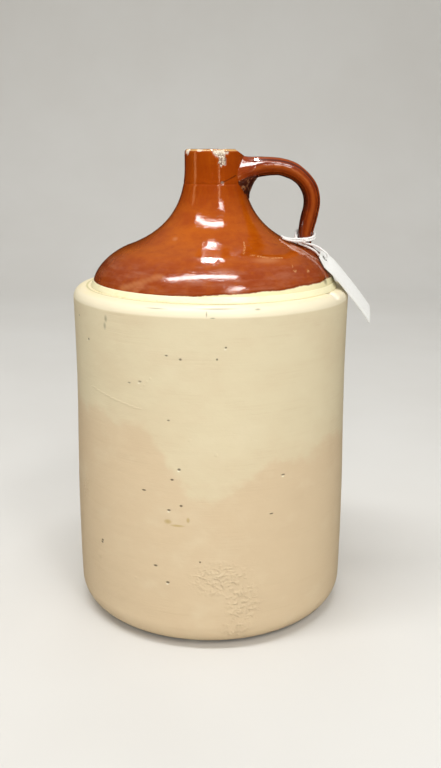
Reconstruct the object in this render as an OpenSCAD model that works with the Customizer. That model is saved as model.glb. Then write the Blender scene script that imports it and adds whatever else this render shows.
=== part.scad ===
// Stoneware shoulder jug for about three US gallons. A straight jiggered body carries a domed top on
// its ledge, a ribbed strap handle is luted to the neck and to the shoulder, and a strung card tag is
// looped round the handle's foot. Millimetres, +Z up, +X towards the handle. The origin is the centre
// of the foot's underside.

/* [Body] */
// Diameter over the wall just above the foot
foot_d = 244; // [225:1:260]
// Diameter over the shoulder rim
rim_d = 242; // [225:1:260]
// Height of the ledge that carries the dome
ledge_z = 292.5; // [250:0.5:330]
// Radius of the rounded edge under the wall
foot_round = 22; // [12:0.5:26]
// Radius of the rounded shoulder rim
rim_round = 9.6; // [7:0.1:11]
// Thickness of the cylindrical wall
wall_t = 11; // [9:0.5:14]
// Thickness of the floor
floor_t = 13; // [10:0.5:18]
// Inside radius between the floor and the wall
floor_fillet = 18; // [8:0.5:22]
// How far the wall swells at a quarter of its height and draws in at three quarters
belly = 0.8; // [0:0.1:3]

/* [Ledge] */
// Flat width of the ledge between the rim's rounding and the dome
ledge_flat = 5; // [4:0.1:8]
// Thickness of the inward shelf under the dome
shelf_t = 12; // [9:0.5:16]
// How far the shelf reaches in under the dome's wall
shelf_reach = 13; // [11:0.5:18]
// Radius of the cove under the shelf
shelf_cove = 10; // [5:0.5:14]

/* [Dome and neck] */
// How far the hand-set dome sits off the body's axis, towards the handle
dome_shift = 2.7; // [0:0.1:3.2]
// Height from the ledge to where the neck runs straight
sweep_rise = 100.5; // [85:0.5:115]
// Height of the straight neck
neck_h = 14.5; // [10:0.5:24]
// Diameter of the neck
neck_d = 50.8; // [46:0.2:56]
// Thickness of the dome's wall
dome_t = 9; // [7:0.5:10]
// Diameter of the mouth's bore
mouth_d = 28; // [24:0.5:32]
// Straight length of the mouth's bore
bore_h = 30; // [22:0.5:32]
// Radius on the outer edge of the lip
lip_round = 3; // [1.5:0.1:4]
// Radius on the inner edge of the lip
mouth_round = 2; // [1:0.1:3]
// Distance from the neck's axis at which the lip starts to slope down to the handle
lip_slope_r = 17.5; // [16.5:0.1:22]
// Angle of that slope
lip_slope_deg = 34; // [15:1:40]

/* [Shoulder lute] */
// Width of the slip fillet on the ledge
slip_w = 2.1; // [1:0.1:2.2]
// Height of the slip fillet up the dome
slip_h = 5; // [3:0.1:8]

/* [Handle] */
// How far out on the dome the middle of the handle's foot stands, as a share of the dome's radius
foot_out_share = 0.7387; // [0.7:0.005:0.77]
// How far the strap bulges out past its foot
handle_bulge = 6.3; // [2:0.1:9]
// Drop from the lip to the top of the handle
handle_drop = 6.8; // [5:0.1:12]
// Thickness of the strap at its middle
handle_t = 14.2; // [11:0.1:16]
// Width of the strap at its middle
handle_w = 25; // [20:0.5:28]
// Depth of the valleys between the strap's three ribs
rib_depth = 1.1; // [0:0.1:1.6]
// How far the clay at the root reaches out from the neck
root_reach = 11; // [6:0.5:14]
// How far the clay at the root runs down the neck under the strap
root_drop = 24; // [16:0.5:26]
// How far the clay at the root spreads to each side of the strap
root_spread = 3.4; // [1.5:0.1:5]
// How far the pressed foot spreads beyond the strap
foot_spread = 4; // [2:0.1:5]
// How much further the pressed foot's tail runs down the shoulder
foot_tail = 4.5; // [2:0.5:5]
// Height of the pressed clay up the strap's foot
foot_clay_h = 4.5; // [3:0.1:6]

/* [Tag] */
// Length of the card
tag_l = 71; // [60:0.5:76]
// Width of the card
tag_w = 41; // [34:0.5:44]
// Thickness of the card
tag_t = 0.6; // [0.4:0.1:1]
// Length of each clipped corner along the card
tag_clip_l = 8; // [4:0.5:12]
// Width of each clipped corner across the card
tag_clip_w = 9; // [4:0.5:12]
// Diameter of the string hole
tag_hole_d = 4.8; // [4.4:0.1:6]
// Distance from the card's top edge to the hole's middle
tag_hole_in = 6.5; // [5:0.1:8]
// Gap between the resting card and the rim
tag_gap = 0.35; // [0.3:0.05:1]
// Turn of the card about the vertical
tag_yaw = 4; // [0:1:8]
// Slope of the card below the level
tag_pitch = 49; // [46:0.5:52]
// Twist of the card about its own length
tag_roll = 17; // [14:0.5:20]
// Distance of the hole from the body's axis, towards the handle
tag_hole_x = 98; // [96:0.5:101]
// Distance of the hole in front of the body's axis
tag_hole_y = 15.6; // [13:0.1:18]

/* [String] */
// Diameter of the cotton string
string_d = 1.3; // [0.9:0.1:1.4]

/* [Hidden] */

// Overrun of every cut past the face that it cuts
cut = 1;
$fn = 96;

foot_r = foot_d / 2;
rim_r = rim_d / 2;
neck_r = neck_d / 2;
mouth_r = mouth_d / 2;
rim_middle_r = rim_r - rim_round;
rim_middle_z = ledge_z - rim_round;
dome_base_r = rim_middle_r - ledge_flat;
shelf_r = dome_base_r - shelf_reach;
straight_z = ledge_z + sweep_rise;
top_z = straight_z + neck_h;
bore_z = top_z - mouth_round - bore_h;

// Where the shoulder turns from convex to concave: share of the way out from the neck, share of the
// rise, and the slope there
turn_out_share = 0.625;
turn_rise_share = 0.33;
turn_deg = 20;
// Lengths of the curves' pulls as shares of the rise: up from the ledge, before the turn, after the
// turn, and down from the straight neck
pull_shares = [0.142, 0.14, 0.39, 0.3];
wall_steps = 8;
arc_steps = 10;
curve_steps = 22;

// Points of an arc about a centre, from one angle to another
function arc(middle, r, from, to, steps = arc_steps) =
    [for (i = [0:steps]) let (a = from + (to - from) * i / steps) middle + r * [cos(a), sin(a)]];

// One point of a cubic curve with end points a and d and control points b and c
function cubic(a, b, c, d, t) =
    pow(1 - t, 3) * a + 3 * pow(1 - t, 2) * t * b + 3 * (1 - t) * t * t * c + pow(t, 3) * d;

// Points of a cubic curve, without its first one
function curve(a, b, c, d, steps = curve_steps) = [for (i = [1:steps]) cubic(a, b, c, d, i / steps)];

// Radius of the wall at a share of the way from the foot's rounding to the rim's
function wall_at(share) = foot_r + (rim_r - foot_r) * share + belly * sin(360 * share);

// The shoulder's outer line, from the ledge up to the straight neck
turn = [
    neck_r + turn_out_share * (dome_base_r - neck_r),
    ledge_z + turn_rise_share * sweep_rise
];
turn_way = [-cos(turn_deg), sin(turn_deg)];
dome_foot = [dome_base_r, ledge_z];
neck_foot = [neck_r, straight_z];
shoulder_line = concat(
    [dome_foot],
    curve(
        dome_foot, dome_foot + [0, pull_shares[0] * sweep_rise],
        turn - pull_shares[1] * sweep_rise * turn_way, turn
    ),
    curve(
        turn, turn + pull_shares[2] * sweep_rise * turn_way,
        neck_foot - [0, pull_shares[3] * sweep_rise], neck_foot
    )
);

// Height of the shoulder's outside at a radius from the neck's axis
function shoulder_z(r) = lookup(r, [for (i = [len(shoulder_line) - 1:-1:0]) shoulder_line[i]]);

function unit(v) = v / norm(v);

// A point of a line, moved to the line's left by a distance
function left_of(line, i, d) =
    let (way = unit(line[min(i + 1, len(line) - 1)] - line[max(i - 1, 0)]))
    line[i] + d * [-way[1], way[0]];

// The dome's inner line: the outer one moved in by the wall, up to where the throat closes to the bore
throat_h = dome_t;
inner_line = [
    for (i = [1:len(shoulder_line) - 1]) let (p = left_of(shoulder_line, i, dome_t))
    if (p[1] < bore_z - throat_h && p[1] > ledge_z) p
];

module jug_body() {
    wall_foot_z = foot_round;
    wall_h = rim_middle_z - foot_round;
    inner_foot_r = wall_at(0) - wall_t;
    cove_z = ledge_z - shelf_t - shelf_cove;
    outline = concat(
        [[0, 0]],
        arc([foot_r - foot_round, foot_round], foot_round, -90, 0),
        [for (i = [1:wall_steps - 1]) [wall_at(i / wall_steps), wall_foot_z + wall_h * i / wall_steps]],
        arc([rim_middle_r, rim_middle_z], rim_round, 0, 90),
        [[shelf_r, ledge_z], [shelf_r, ledge_z - shelf_t]],
        [[rim_r - wall_t - shelf_cove, ledge_z - shelf_t]],
        arc([rim_r - wall_t - shelf_cove, cove_z], shelf_cove, 80, 0),
        [
            for (i = [wall_steps - 2:-1:1])
            [wall_at(i / wall_steps) - wall_t, wall_foot_z + wall_h * i / wall_steps]
        ],
        arc([inner_foot_r - floor_fillet, floor_t + floor_fillet], floor_fillet, 0, -90),
        [[0, floor_t]]
    );
    rotate_extrude() polygon(outline);
}

// The jiggered lower half: floor, straight wall, rounded rim and the shelf that carries the dome
module lower_body() {
    color("#dccaa4") jug_body();
}

// The dome's and neck's outside, solid to the axis. It also cuts the handle and the lutes to it.
module dome_solid(sink = 0) {
    translate([dome_shift, 0, 0])
        rotate_extrude()
            polygon(concat(
                [[0, ledge_z - sink], [dome_base_r, ledge_z - sink]],
                shoulder_line,
                arc([neck_r - lip_round, top_z - lip_round], lip_round, 0, 90),
                [[0, top_z]]
            ));
}

// The slope that was wiped into the lip where the handle joins it
module lip_slope() {
    translate([dome_shift + lip_slope_r, 0, top_z])
        rotate([0, lip_slope_deg, 0])
            translate([-neck_r, -neck_r, 0])
                cube([neck_d + neck_r, neck_d, neck_r]);
}

// The hollow of the dome, its throat and the mouth's bore
module dome_hollow() {
    inner_foot_r = inner_line[0][0];
    throat = inner_line[len(inner_line) - 1];
    translate([dome_shift, 0, 0])
        rotate_extrude()
            polygon(concat(
                [[0, ledge_z - cut], [inner_foot_r, ledge_z - cut]],
                inner_line,
                [[max(throat[0], mouth_r), throat[1]], [mouth_r, bore_z], [mouth_r, bore_z + bore_h]],
                arc([mouth_r + mouth_round, top_z - mouth_round], mouth_round, 180, 90),
                [[mouth_r + mouth_round, top_z + cut], [0, top_z + cut]]
            ));
}

// The moulded top half: shoulder, neck and mouth in one shell
module shoulder_dome() {
    color("#a5471c") difference() {
        dome_solid();
        dome_hollow();
        lip_slope();
    }
}

// The fillet of slip that was run round the joint, on the ledge against the dome
module shoulder_lute() {
    outer = dome_base_r + slip_w;
    color("#d9bf80") difference() {
        translate([dome_shift, 0, 0])
            rotate_extrude()
                polygon([
                    [dome_base_r - slip_h, ledge_z],
                    [outer, ledge_z],
                    [outer - slip_w / 4, ledge_z + slip_h / 3],
                    [outer - slip_w * 2 / 3, ledge_z + slip_h * 3 / 4],
                    [dome_base_r - slip_h, ledge_z + slip_h]
                ]);
        dome_solid(cut);
    }
}

// Joins rings of points, each with as many points as the next, into one closed solid of triangles
module skin(rings) {
    n = len(rings[0]);
    last = (len(rings) - 1) * n;
    sides = [
        for (i = [0:len(rings) - 2]) for (j = [0:n - 1])
        let (a = i * n + j, b = i * n + (j + 1) % n, c = b + n, d = a + n)
        each [[a, c, b], [a, d, c]]
    ];
    first_end = [for (j = [1:n - 2]) [0, j, j + 1]];
    last_end = [for (j = [1:n - 2]) [last, last + j + 1, last + j]];
    polyhedron([for (ring = rings) each ring], concat(sides, first_end, last_end));
}

// Joins outer and inner rings of points into one closed collar that fits round the inner ones
module collar(outer, inner) {
    n = len(outer[0]);
    size = len(outer) * n;
    last = size - n;
    walls = [
        for (i = [0:len(outer) - 2]) for (j = [0:n - 1])
        let (a = i * n + j, b = i * n + (j + 1) % n, c = b + n, d = a + n)
        each [[a, c, b], [a, d, c], [a + size, b + size, c + size], [a + size, c + size, d + size]]
    ];
    ends = [
        for (j = [0:n - 1]) let (k = (j + 1) % n)
        each [
            [j, k, k + size], [j, k + size, j + size],
            [last + j, last + k + size, last + k], [last + j, last + j + size, last + k + size]
        ]
    ];
    polyhedron([for (ring = concat(outer, inner)) each ring], concat(walls, ends));
}

// The strap's middle line in the plane of the handle, from inside the neck, over the crest and the
// outermost point, down into the shoulder. Its curves pull by shares of its reach and height.
crest_out_share = 0.42;
outmost_up_share = 0.62;
root_sink_share = 0.15;
// How far each end of a curve pulls along it, as shares of its run or its height: from the root to
// the crest, from there round the bend, and down to the foot
root_pull_shares = [0.4, 0.4];
bend_pull_shares = [0.52, 0.6];
fall_pull_shares = [0.2, 0.62];
root_steps = 10;
bend_steps = 14;
fall_steps = 14;
strap_half = handle_t / 2;
handle_foot_r = foot_out_share * dome_base_r;
outmost_r = handle_foot_r + handle_bulge;
crest = [neck_r + crest_out_share * (outmost_r - neck_r), top_z - handle_drop - strap_half];
foot_end = [handle_foot_r, shoulder_z(handle_foot_r) - foot_spread - strap_half];
outmost = [outmost_r, foot_end[1] + outmost_up_share * (crest[1] - foot_end[1])];
root = [mouth_r, crest[1] - root_sink_share * handle_t];
run = crest - root;
bend = outmost - crest;
fall = outmost - foot_end;
strap_line = concat(
    [root],
    curve(
        root, root + [root_pull_shares[0] * run[0], 0],
        crest - [root_pull_shares[1] * run[0], 0], crest, root_steps
    ),
    curve(
        crest, crest + [bend_pull_shares[0] * bend[0], 0],
        outmost - [0, bend_pull_shares[1] * bend[1]], outmost, bend_steps
    ),
    curve(
        outmost, outmost - [0, fall_pull_shares[0] * fall[1]],
        foot_end + [0, fall_pull_shares[1] * fall[1]], foot_end, fall_steps
    )
);
// How thick and how wide the strap is, in shares of its sizes, at shares of its length
thick_shares = [[0, 1.3], [0.18, 1.2], [0.3, 1.06], [0.45, 1], [0.8, 1], [0.9, 0.88], [1, 0.86]];
wide_shares = [[0, 1.26], [0.15, 1.18], [0.3, 1.04], [0.5, 1], [0.8, 0.84], [0.9, 0.74], [1, 0.72]];
strap_sides = 28;
// The strap's section is a squared oval: 2 would be an ellipse
boxy = 2.5;
ribs = 3;

function powered(v, e) = sign(v) * pow(abs(v), e);

// A ring round the strap's middle line at point i, grown over, under and to the sides, and moved
// outwards by a shift
function strap_ring(i, over = 0, under = 0, beside = 0, shift = 0) =
    let (
        last = len(strap_line) - 1,
        share = i / last,
        way = unit(strap_line[min(i + 1, last)] - strap_line[max(i - 1, 0)]),
        out = [-way[1], way[0]],
        half = strap_half * lookup(share, thick_shares),
        side = handle_w / 2 * lookup(share, wide_shares)
    )
    [
        for (j = [0:strap_sides - 1])
        let (
            a = 360 * j / strap_sides,
            y = (side + beside) * powered(cos(a), 2 / boxy),
            up = sin(a) > 0,
            rib = up ? rib_depth * sin(a) * (1 - cos(360 * (ribs / 2) * y / side + 180 * ribs)) / 2 : 0,
            n = (half + (up ? over : under)) * powered(sin(a), 2 / boxy) - rib + shift,
            p = strap_line[i] + n * out
        )
        [p[0] + dome_shift, y, p[1]]
    ];

module strap() {
    skin([for (i = [0:len(strap_line) - 1]) strap_ring(i)]);
}

// The pulled strap handle, cut to the neck and to the shoulder
module handle() {
    color("#9a3f18") difference() {
        strap();
        dome_solid(cut);
    }
}

// The clay at the handle's root: a collar that runs down the neck and feathers out along the strap.
// The feather's thickness over, under and beside the strap is a share of the collar's there.
feather_shares = [0.15, 0.03, 0.15];
root_rise_share = 0.5;
function root_share(i) = max(0, min(1, (strap_line[i][0] - neck_r) / root_reach));
function feathered(share, left) = share + (1 - share) * left;

module handle_upper_lute() {
    rows = [for (i = [0:len(strap_line) - 1]) if (strap_line[i][0] < neck_r + root_reach) i];
    color("#7c3216") difference() {
        collar(
            [
                for (i = rows)
                let (left = 1 - root_share(i))
                strap_ring(
                    i,
                    over = root_spread * root_rise_share * feathered(feather_shares[0], left * left),
                    under = root_drop * feathered(feather_shares[1], left * left * (3 - 2 * left)),
                    beside = root_spread * feathered(feather_shares[2], left * left)
                )
            ],
            [for (i = rows) strap_ring(i)]
        );
        dome_solid(cut);
    }
}

// The pressed clay at the handle's foot, with the tail that the thumb drew down the shoulder
clay_edge = 0.5;
module handle_lower_lute() {
    last = len(strap_line) - 1;
    seat_z = shoulder_z(handle_foot_r);
    rows = [for (i = [0:last]) if (i > last / 2 && strap_line[i][1] < seat_z + foot_clay_h) i];
    color("#7c3216") difference() {
        collar(
            [
                for (i = rows)
                let (down = min(1, (seat_z + foot_clay_h - strap_line[i][1]) / (2 * foot_clay_h)))
                strap_ring(
                    i,
                    over = clay_edge + (foot_spread + foot_tail) * down * down,
                    under = clay_edge + foot_spread / 2 * down,
                    beside = clay_edge + foot_spread * down
                )
            ],
            [for (i = rows) strap_ring(i)]
        );
        dome_solid(cut);
    }
}

// The direction off the card's face, once the card is rolled, pitched and yawed
rolled = [0, -sin(tag_roll), cos(tag_roll)];
pitched = [rolled[2] * sin(tag_pitch), rolled[1], rolled[2] * cos(tag_pitch)];
tag_face = [
    pitched[0] * cos(tag_yaw) - pitched[1] * sin(tag_yaw),
    pitched[0] * sin(tag_yaw) + pitched[1] * cos(tag_yaw),
    pitched[2]
];
// Height of the hole at which the card just lies on the rim's rounding
tag_hole_z = (
    rim_middle_r * norm([tag_face[0], tag_face[1]]) + rim_middle_z * tag_face[2] + rim_round
    + tag_t / 2 + tag_gap - tag_face[0] * tag_hole_x + tag_face[1] * tag_hole_y
) / tag_face[2];

// The card tag with its two clipped corners and its string hole
module tag_card() {
    bottom = tag_l - tag_hole_in;
    color("#f2f1ec")
        translate([tag_hole_x, -tag_hole_y, tag_hole_z])
            rotate([0, 0, tag_yaw])
                rotate([0, tag_pitch, 0])
                    rotate([tag_roll, 0, 0])
                        translate([0, 0, -tag_t / 2])
                            difference() {
                                linear_extrude(tag_t)
                                    polygon([
                                        [-tag_hole_in, tag_clip_w - tag_w / 2],
                                        [tag_clip_l - tag_hole_in, -tag_w / 2],
                                        [bottom, -tag_w / 2],
                                        [bottom, tag_w / 2],
                                        [tag_clip_l - tag_hole_in, tag_w / 2],
                                        [-tag_hole_in, tag_w / 2 - tag_clip_w]
                                    ]);
                                translate([0, 0, -cut])
                                    cylinder(d = tag_hole_d, h = tag_t + 2 * cut);
                            }
}

// The string's middle line: a tail on the shoulder, once round the handle's foot, out to the card,
// through its hole and back, once more round the foot, and the second tail
string_route = [
    [60.5, -13.4, 335.3], [64.5, -13.8, 333.8], [68.5, -14, 333], [72.5, -14, 332.9], [76.5, -13.7, 332.9],
    [80.5, -13, 333], [84.3, -11.6, 333.2], [87.6, -9, 333.8], [89.8, -5.4, 334.6], [90.8, -1.4, 335.6],
    [91, 2.8, 336.8], [89.8, 7.2, 337.9], [86.7, 10.8, 338.7], [82.1, 11.9, 339], [78, 10.4, 338.7],
    [75.6, 6.9, 337.7], [74.6, 2.8, 336.4], [74.4, -1.4, 334.6], [74.7, -5.4, 332.6], [76.3, -8.9, 330.8],
    [79.2, -11.1, 329.7], [82.4, -12.8, 329], [86, -14.1, 328.4], [89.5, -15.3, 327.5],
    [92.6, -16.3, 326.2], [95.4, -16.8, 324.3], [97.9, -16.9, 322.4], [99.9, -16.9, 320.8],
    [100.6, -16.6, 319.2], [100.4, -16.3, 317.6], [99.3, -15.9, 316.3], [97.7, -15.6, 315.8],
    [96.2, -15.4, 316.3], [94.5, -15.5, 317.7], [92.5, -15.6, 320], [90.6, -15.4, 322.3],
    [88, -14.8, 324], [85, -13.9, 325.6], [82, -12.8, 326.8], [79.1, -11.3, 327.7], [76.5, -9, 328.7],
    [74.7, -5.5, 330.2], [74.1, -1.4, 332.1], [74.3, 2.8, 334], [75.8, 7, 335.5], [78.3, 10.3, 336.6],
    [82.1, 11.7, 336.9], [86.6, 10.8, 336.6], [89.6, 7.1, 335.7], [90.8, 2.8, 334.6], [90.9, -1.4, 333.5],
    [89.9, -5.6, 332.5], [87.6, -9.4, 331.8], [84.3, -12.2, 331.4], [80.5, -14, 331.2], [76.5, -15, 331],
    [72.5, -15.8, 331.1], [68.5, -16.2, 331.7], [64.5, -16.4, 332.8], [61.4, -16.5, 334.1]
];
string_sides = 8;

// A ring of points round the string's middle line, square to it
function string_ring(i) =
    let (
        way = unit(string_route[min(i + 1, len(string_route) - 1)] - string_route[max(i - 1, 0)]),
        across = unit(cross(way, abs(way[2]) < 0.8 ? [0, 0, 1] : [1, 0, 0])),
        over = cross(way, across)
    )
    [
        for (j = [0:string_sides - 1])
        let (a = 360 * j / string_sides)
        string_route[i] + string_d / 2 * (cos(a) * across + sin(a) * over)
    ];

module tag_string() {
    color("#f4f3ee") skin([for (i = [0:len(string_route) - 1]) string_ring(i)]);
}

// Distance of a point from the stretch between two others
function to_stretch(p, a, b) =
    let (share = max(0, min(1, (p - a) * (b - a) / ((b - a) * (b - a)))))
    norm(p - a - share * (b - a));
// The least gap between stretches of the string that lie more than two points apart
least_gap = min([
    for (i = [0:len(string_route) - 1]) for (j = [0:len(string_route) - 2])
    if (j > i + 2 || j + 1 < i - 2) to_stretch(string_route[i], string_route[j], string_route[j + 1])
]) - string_d;
echo(str("Least gap of the string to itself: ", least_gap, " mm"));

lower_body();
shoulder_dome();
shoulder_lute();
handle();
handle_upper_lute();
handle_lower_lute();
tag_string();
tag_card();
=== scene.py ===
"""Dresses a two-tone stoneware shoulder jug around its packed construction.

The jug has a jiggered body in cream glaze, a moulded dome and neck in brown slip glaze, a pulled strap
handle that is luted on with soft clay, and a card tag on a cotton string. Lengths in the classes are in
millimetres, as the potter would give them, and become metres when a mesh is made.
"""

from __future__ import annotations

import logging
import math
from dataclasses import dataclass
from enum import Enum
from typing import Any, Sequence

import bmesh
import bpy
import numpy as np
from mathutils import Matrix, Vector, geometry, noise

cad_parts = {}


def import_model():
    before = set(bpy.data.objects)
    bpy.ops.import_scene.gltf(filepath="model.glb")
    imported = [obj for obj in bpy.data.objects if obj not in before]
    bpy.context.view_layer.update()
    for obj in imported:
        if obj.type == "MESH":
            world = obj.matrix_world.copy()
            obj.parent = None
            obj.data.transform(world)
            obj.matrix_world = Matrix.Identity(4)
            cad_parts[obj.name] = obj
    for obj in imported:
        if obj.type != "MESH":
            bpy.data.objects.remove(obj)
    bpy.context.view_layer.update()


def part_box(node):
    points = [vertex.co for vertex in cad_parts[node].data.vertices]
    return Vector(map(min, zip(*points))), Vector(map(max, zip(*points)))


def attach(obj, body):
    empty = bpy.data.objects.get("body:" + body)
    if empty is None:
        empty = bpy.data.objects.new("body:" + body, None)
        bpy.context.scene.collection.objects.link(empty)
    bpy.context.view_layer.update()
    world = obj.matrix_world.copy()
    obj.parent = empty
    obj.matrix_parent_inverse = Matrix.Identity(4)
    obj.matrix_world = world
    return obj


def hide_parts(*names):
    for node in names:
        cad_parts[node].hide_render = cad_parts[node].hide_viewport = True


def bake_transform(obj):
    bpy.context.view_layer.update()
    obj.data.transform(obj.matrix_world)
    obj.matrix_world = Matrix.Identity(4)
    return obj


LOG = logging.getLogger("jug")
MM = 0.001
JUG, TAG = "jug", "tag"
# Radius of the groove round the ledge, which the body's shape and its glaze share
GROOVE_R = 109.0

Line = list[tuple[float, float]]
Place = tuple[float, float, float]
Layer = tuple[float, float, float]


class Scar(Enum):
    """How a small fault in the ware changes its surface."""

    CHIP = "chip"
    DENT = "dent"
    LUMP = "lump"


def linear(code: str) -> tuple[float, float, float, float]:
    """Turns an sRGB hex colour into linear RGBA."""
    parts = [int(code[i : i + 2], 16) / 255 for i in (1, 3, 5)]
    return (*(c / 12.92 if c <= 0.04045 else ((c + 0.055) / 1.055) ** 2.4 for c in parts), 1.0)


def add(tree: bpy.types.NodeTree, kind: str, inputs: dict | None = None, **settings: Any) -> bpy.types.Node:
    """Adds a node to a tree.

    Args:
        tree: The shader or geometry tree.
        kind: The node's type.
        inputs: A value, or another node's output socket, by the input's name or number.
        settings: The node's own properties.

    Returns:
        The new node.
    """
    node = tree.nodes.new(kind)
    for name, value in settings.items():
        setattr(node, name, value)
    for key, value in (inputs or {}).items():
        if isinstance(value, bpy.types.NodeSocket):
            tree.links.new(value, node.inputs[key])
        else:
            node.inputs[key].default_value = value
    return node


def smooth(values: np.ndarray, low: float, high: float) -> np.ndarray:
    """Rises smoothly from 0 at low to 1 at high, or falls where low is the larger.

    Args:
        values: The numbers to turn into shares.
        low: Where the share is 0.
        high: Where the share is 1.

    Returns:
        A share for each number.
    """
    t = np.clip((values - low) / (high - low), 0, 1)
    return t * t * (3 - 2 * t)


def cubic(a: Sequence[float], b: Sequence[float], c: Sequence[float], d: Sequence[float], steps: int) -> Line:
    """Draws a cubic curve.

    Args:
        a: Its start.
        b: What pulls it as it leaves the start.
        c: What pulls it as it comes to its end.
        d: Its end.
        steps: How many parts it has.

    Returns:
        Its points without the first one.
    """
    a, b, c, d = (np.array(p, float) for p in (a, b, c, d))
    shares = [i / steps for i in range(1, steps + 1)]
    return [
        tuple((1 - t) ** 3 * a + 3 * (1 - t) ** 2 * t * b + 3 * (1 - t) * t * t * c + t**3 * d)
        for t in shares
    ]


def arc(middle: Sequence[float], radius: float, start: float, end: float, steps: int) -> Line:
    """Draws an arc.

    Args:
        middle: Its centre.
        radius: Its radius.
        start: The angle of its first point, in degrees.
        end: The angle of its last point.
        steps: How many parts it has.

    Returns:
        All its points.
    """
    angles = [math.radians(start + (end - start) * i / steps) for i in range(steps + 1)]
    return [(middle[0] + radius * math.cos(a), middle[1] + radius * math.sin(a)) for a in angles]


def resampled(line: Line, step: float) -> Line:
    """Adds points to a line until no two are further apart than a step.

    Args:
        line: The line's points.
        step: The longest part that is left.

    Returns:
        The finer line.
    """
    out = [line[0]]
    for a, b in zip(line, line[1:]):
        parts = max(1, math.ceil(math.dist(a, b) / step))
        out += [tuple(a[k] + (b[k] - a[k]) * i / parts for k in range(len(a))) for i in range(1, parts + 1)]
    return out


def make_object(name: str, points: np.ndarray, faces: Sequence, edges: Sequence = ()) -> bpy.types.Object:
    """Makes a smooth-shaded mesh object and links it to the scene.

    Args:
        name: The object's name.
        points: Its points in millimetres.
        faces: The points of each face.
        edges: The points of each edge that has no face.

    Returns:
        The object, at the origin.
    """
    mesh = bpy.data.meshes.new(name)
    mesh.from_pydata((np.asarray(points, float) * MM).tolist(), list(edges), [list(f) for f in faces])
    mesh.update()
    mesh.polygons.foreach_set("use_smooth", [True] * len(mesh.polygons))
    obj = bpy.data.objects.new(name, mesh)
    bpy.context.scene.collection.objects.link(obj)
    return obj


def apply_tree(obj: bpy.types.Object, tree: bpy.types.NodeTree, values: dict[str, Any]) -> bpy.types.Object:
    """Runs a Geometry Nodes tree on an object and keeps its result as a plain mesh.

    Args:
        obj: The object whose mesh goes into the tree.
        tree: The tree.
        values: What its named inputs are set to.

    Returns:
        The same object, with no modifier left on it.
    """
    modifier = obj.modifiers.new(tree.name, "NODES")
    modifier.node_group = tree
    for item in tree.interface.items_tree:
        if item.item_type == "SOCKET" and item.in_out == "INPUT" and item.name in values:
            modifier[item.identifier] = values[item.name]
    graph = bpy.context.evaluated_depsgraph_get()
    mesh = bpy.data.meshes.new_from_object(obj.evaluated_get(graph))
    obj.modifiers.clear()
    obj.data = mesh
    return obj


def new_tree(name: str, sockets: dict[str, str]) -> tuple[bpy.types.NodeTree, bpy.types.Node]:
    """Starts a Geometry Nodes tree.

    Args:
        name: The tree's name.
        sockets: The kind of each named input.

    Returns:
        The tree and the node that gives its inputs.
    """
    tree = bpy.data.node_groups.new(name, "GeometryNodeTree")
    tree.interface.new_socket("Geometry", in_out="INPUT", socket_type="NodeSocketGeometry")
    for label, kind in sockets.items():
        tree.interface.new_socket(label, in_out="INPUT", socket_type=f"NodeSocket{kind}")
    tree.interface.new_socket("Geometry", in_out="OUTPUT", socket_type="NodeSocketGeometry")
    return tree, add(tree, "NodeGroupInput")


def end_tree(tree: bpy.types.NodeTree, shape: bpy.types.NodeSocket, material: bpy.types.NodeSocket) -> None:
    """Ends a tree in Realize Instances, smooth shading and its material.

    Args:
        tree: The tree.
        shape: The socket that gives the finished shape.
        material: The socket that gives its material.
    """
    real = add(tree, "GeometryNodeRealizeInstances", {0: shape})
    shaded = add(tree, "GeometryNodeSetShadeSmooth", {0: real.outputs[0]})
    dressed = add(tree, "GeometryNodeSetMaterial", {"Geometry": shaded.outputs[0], "Material": material})
    add(tree, "NodeGroupOutput", {0: dressed.outputs[0]})


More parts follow.
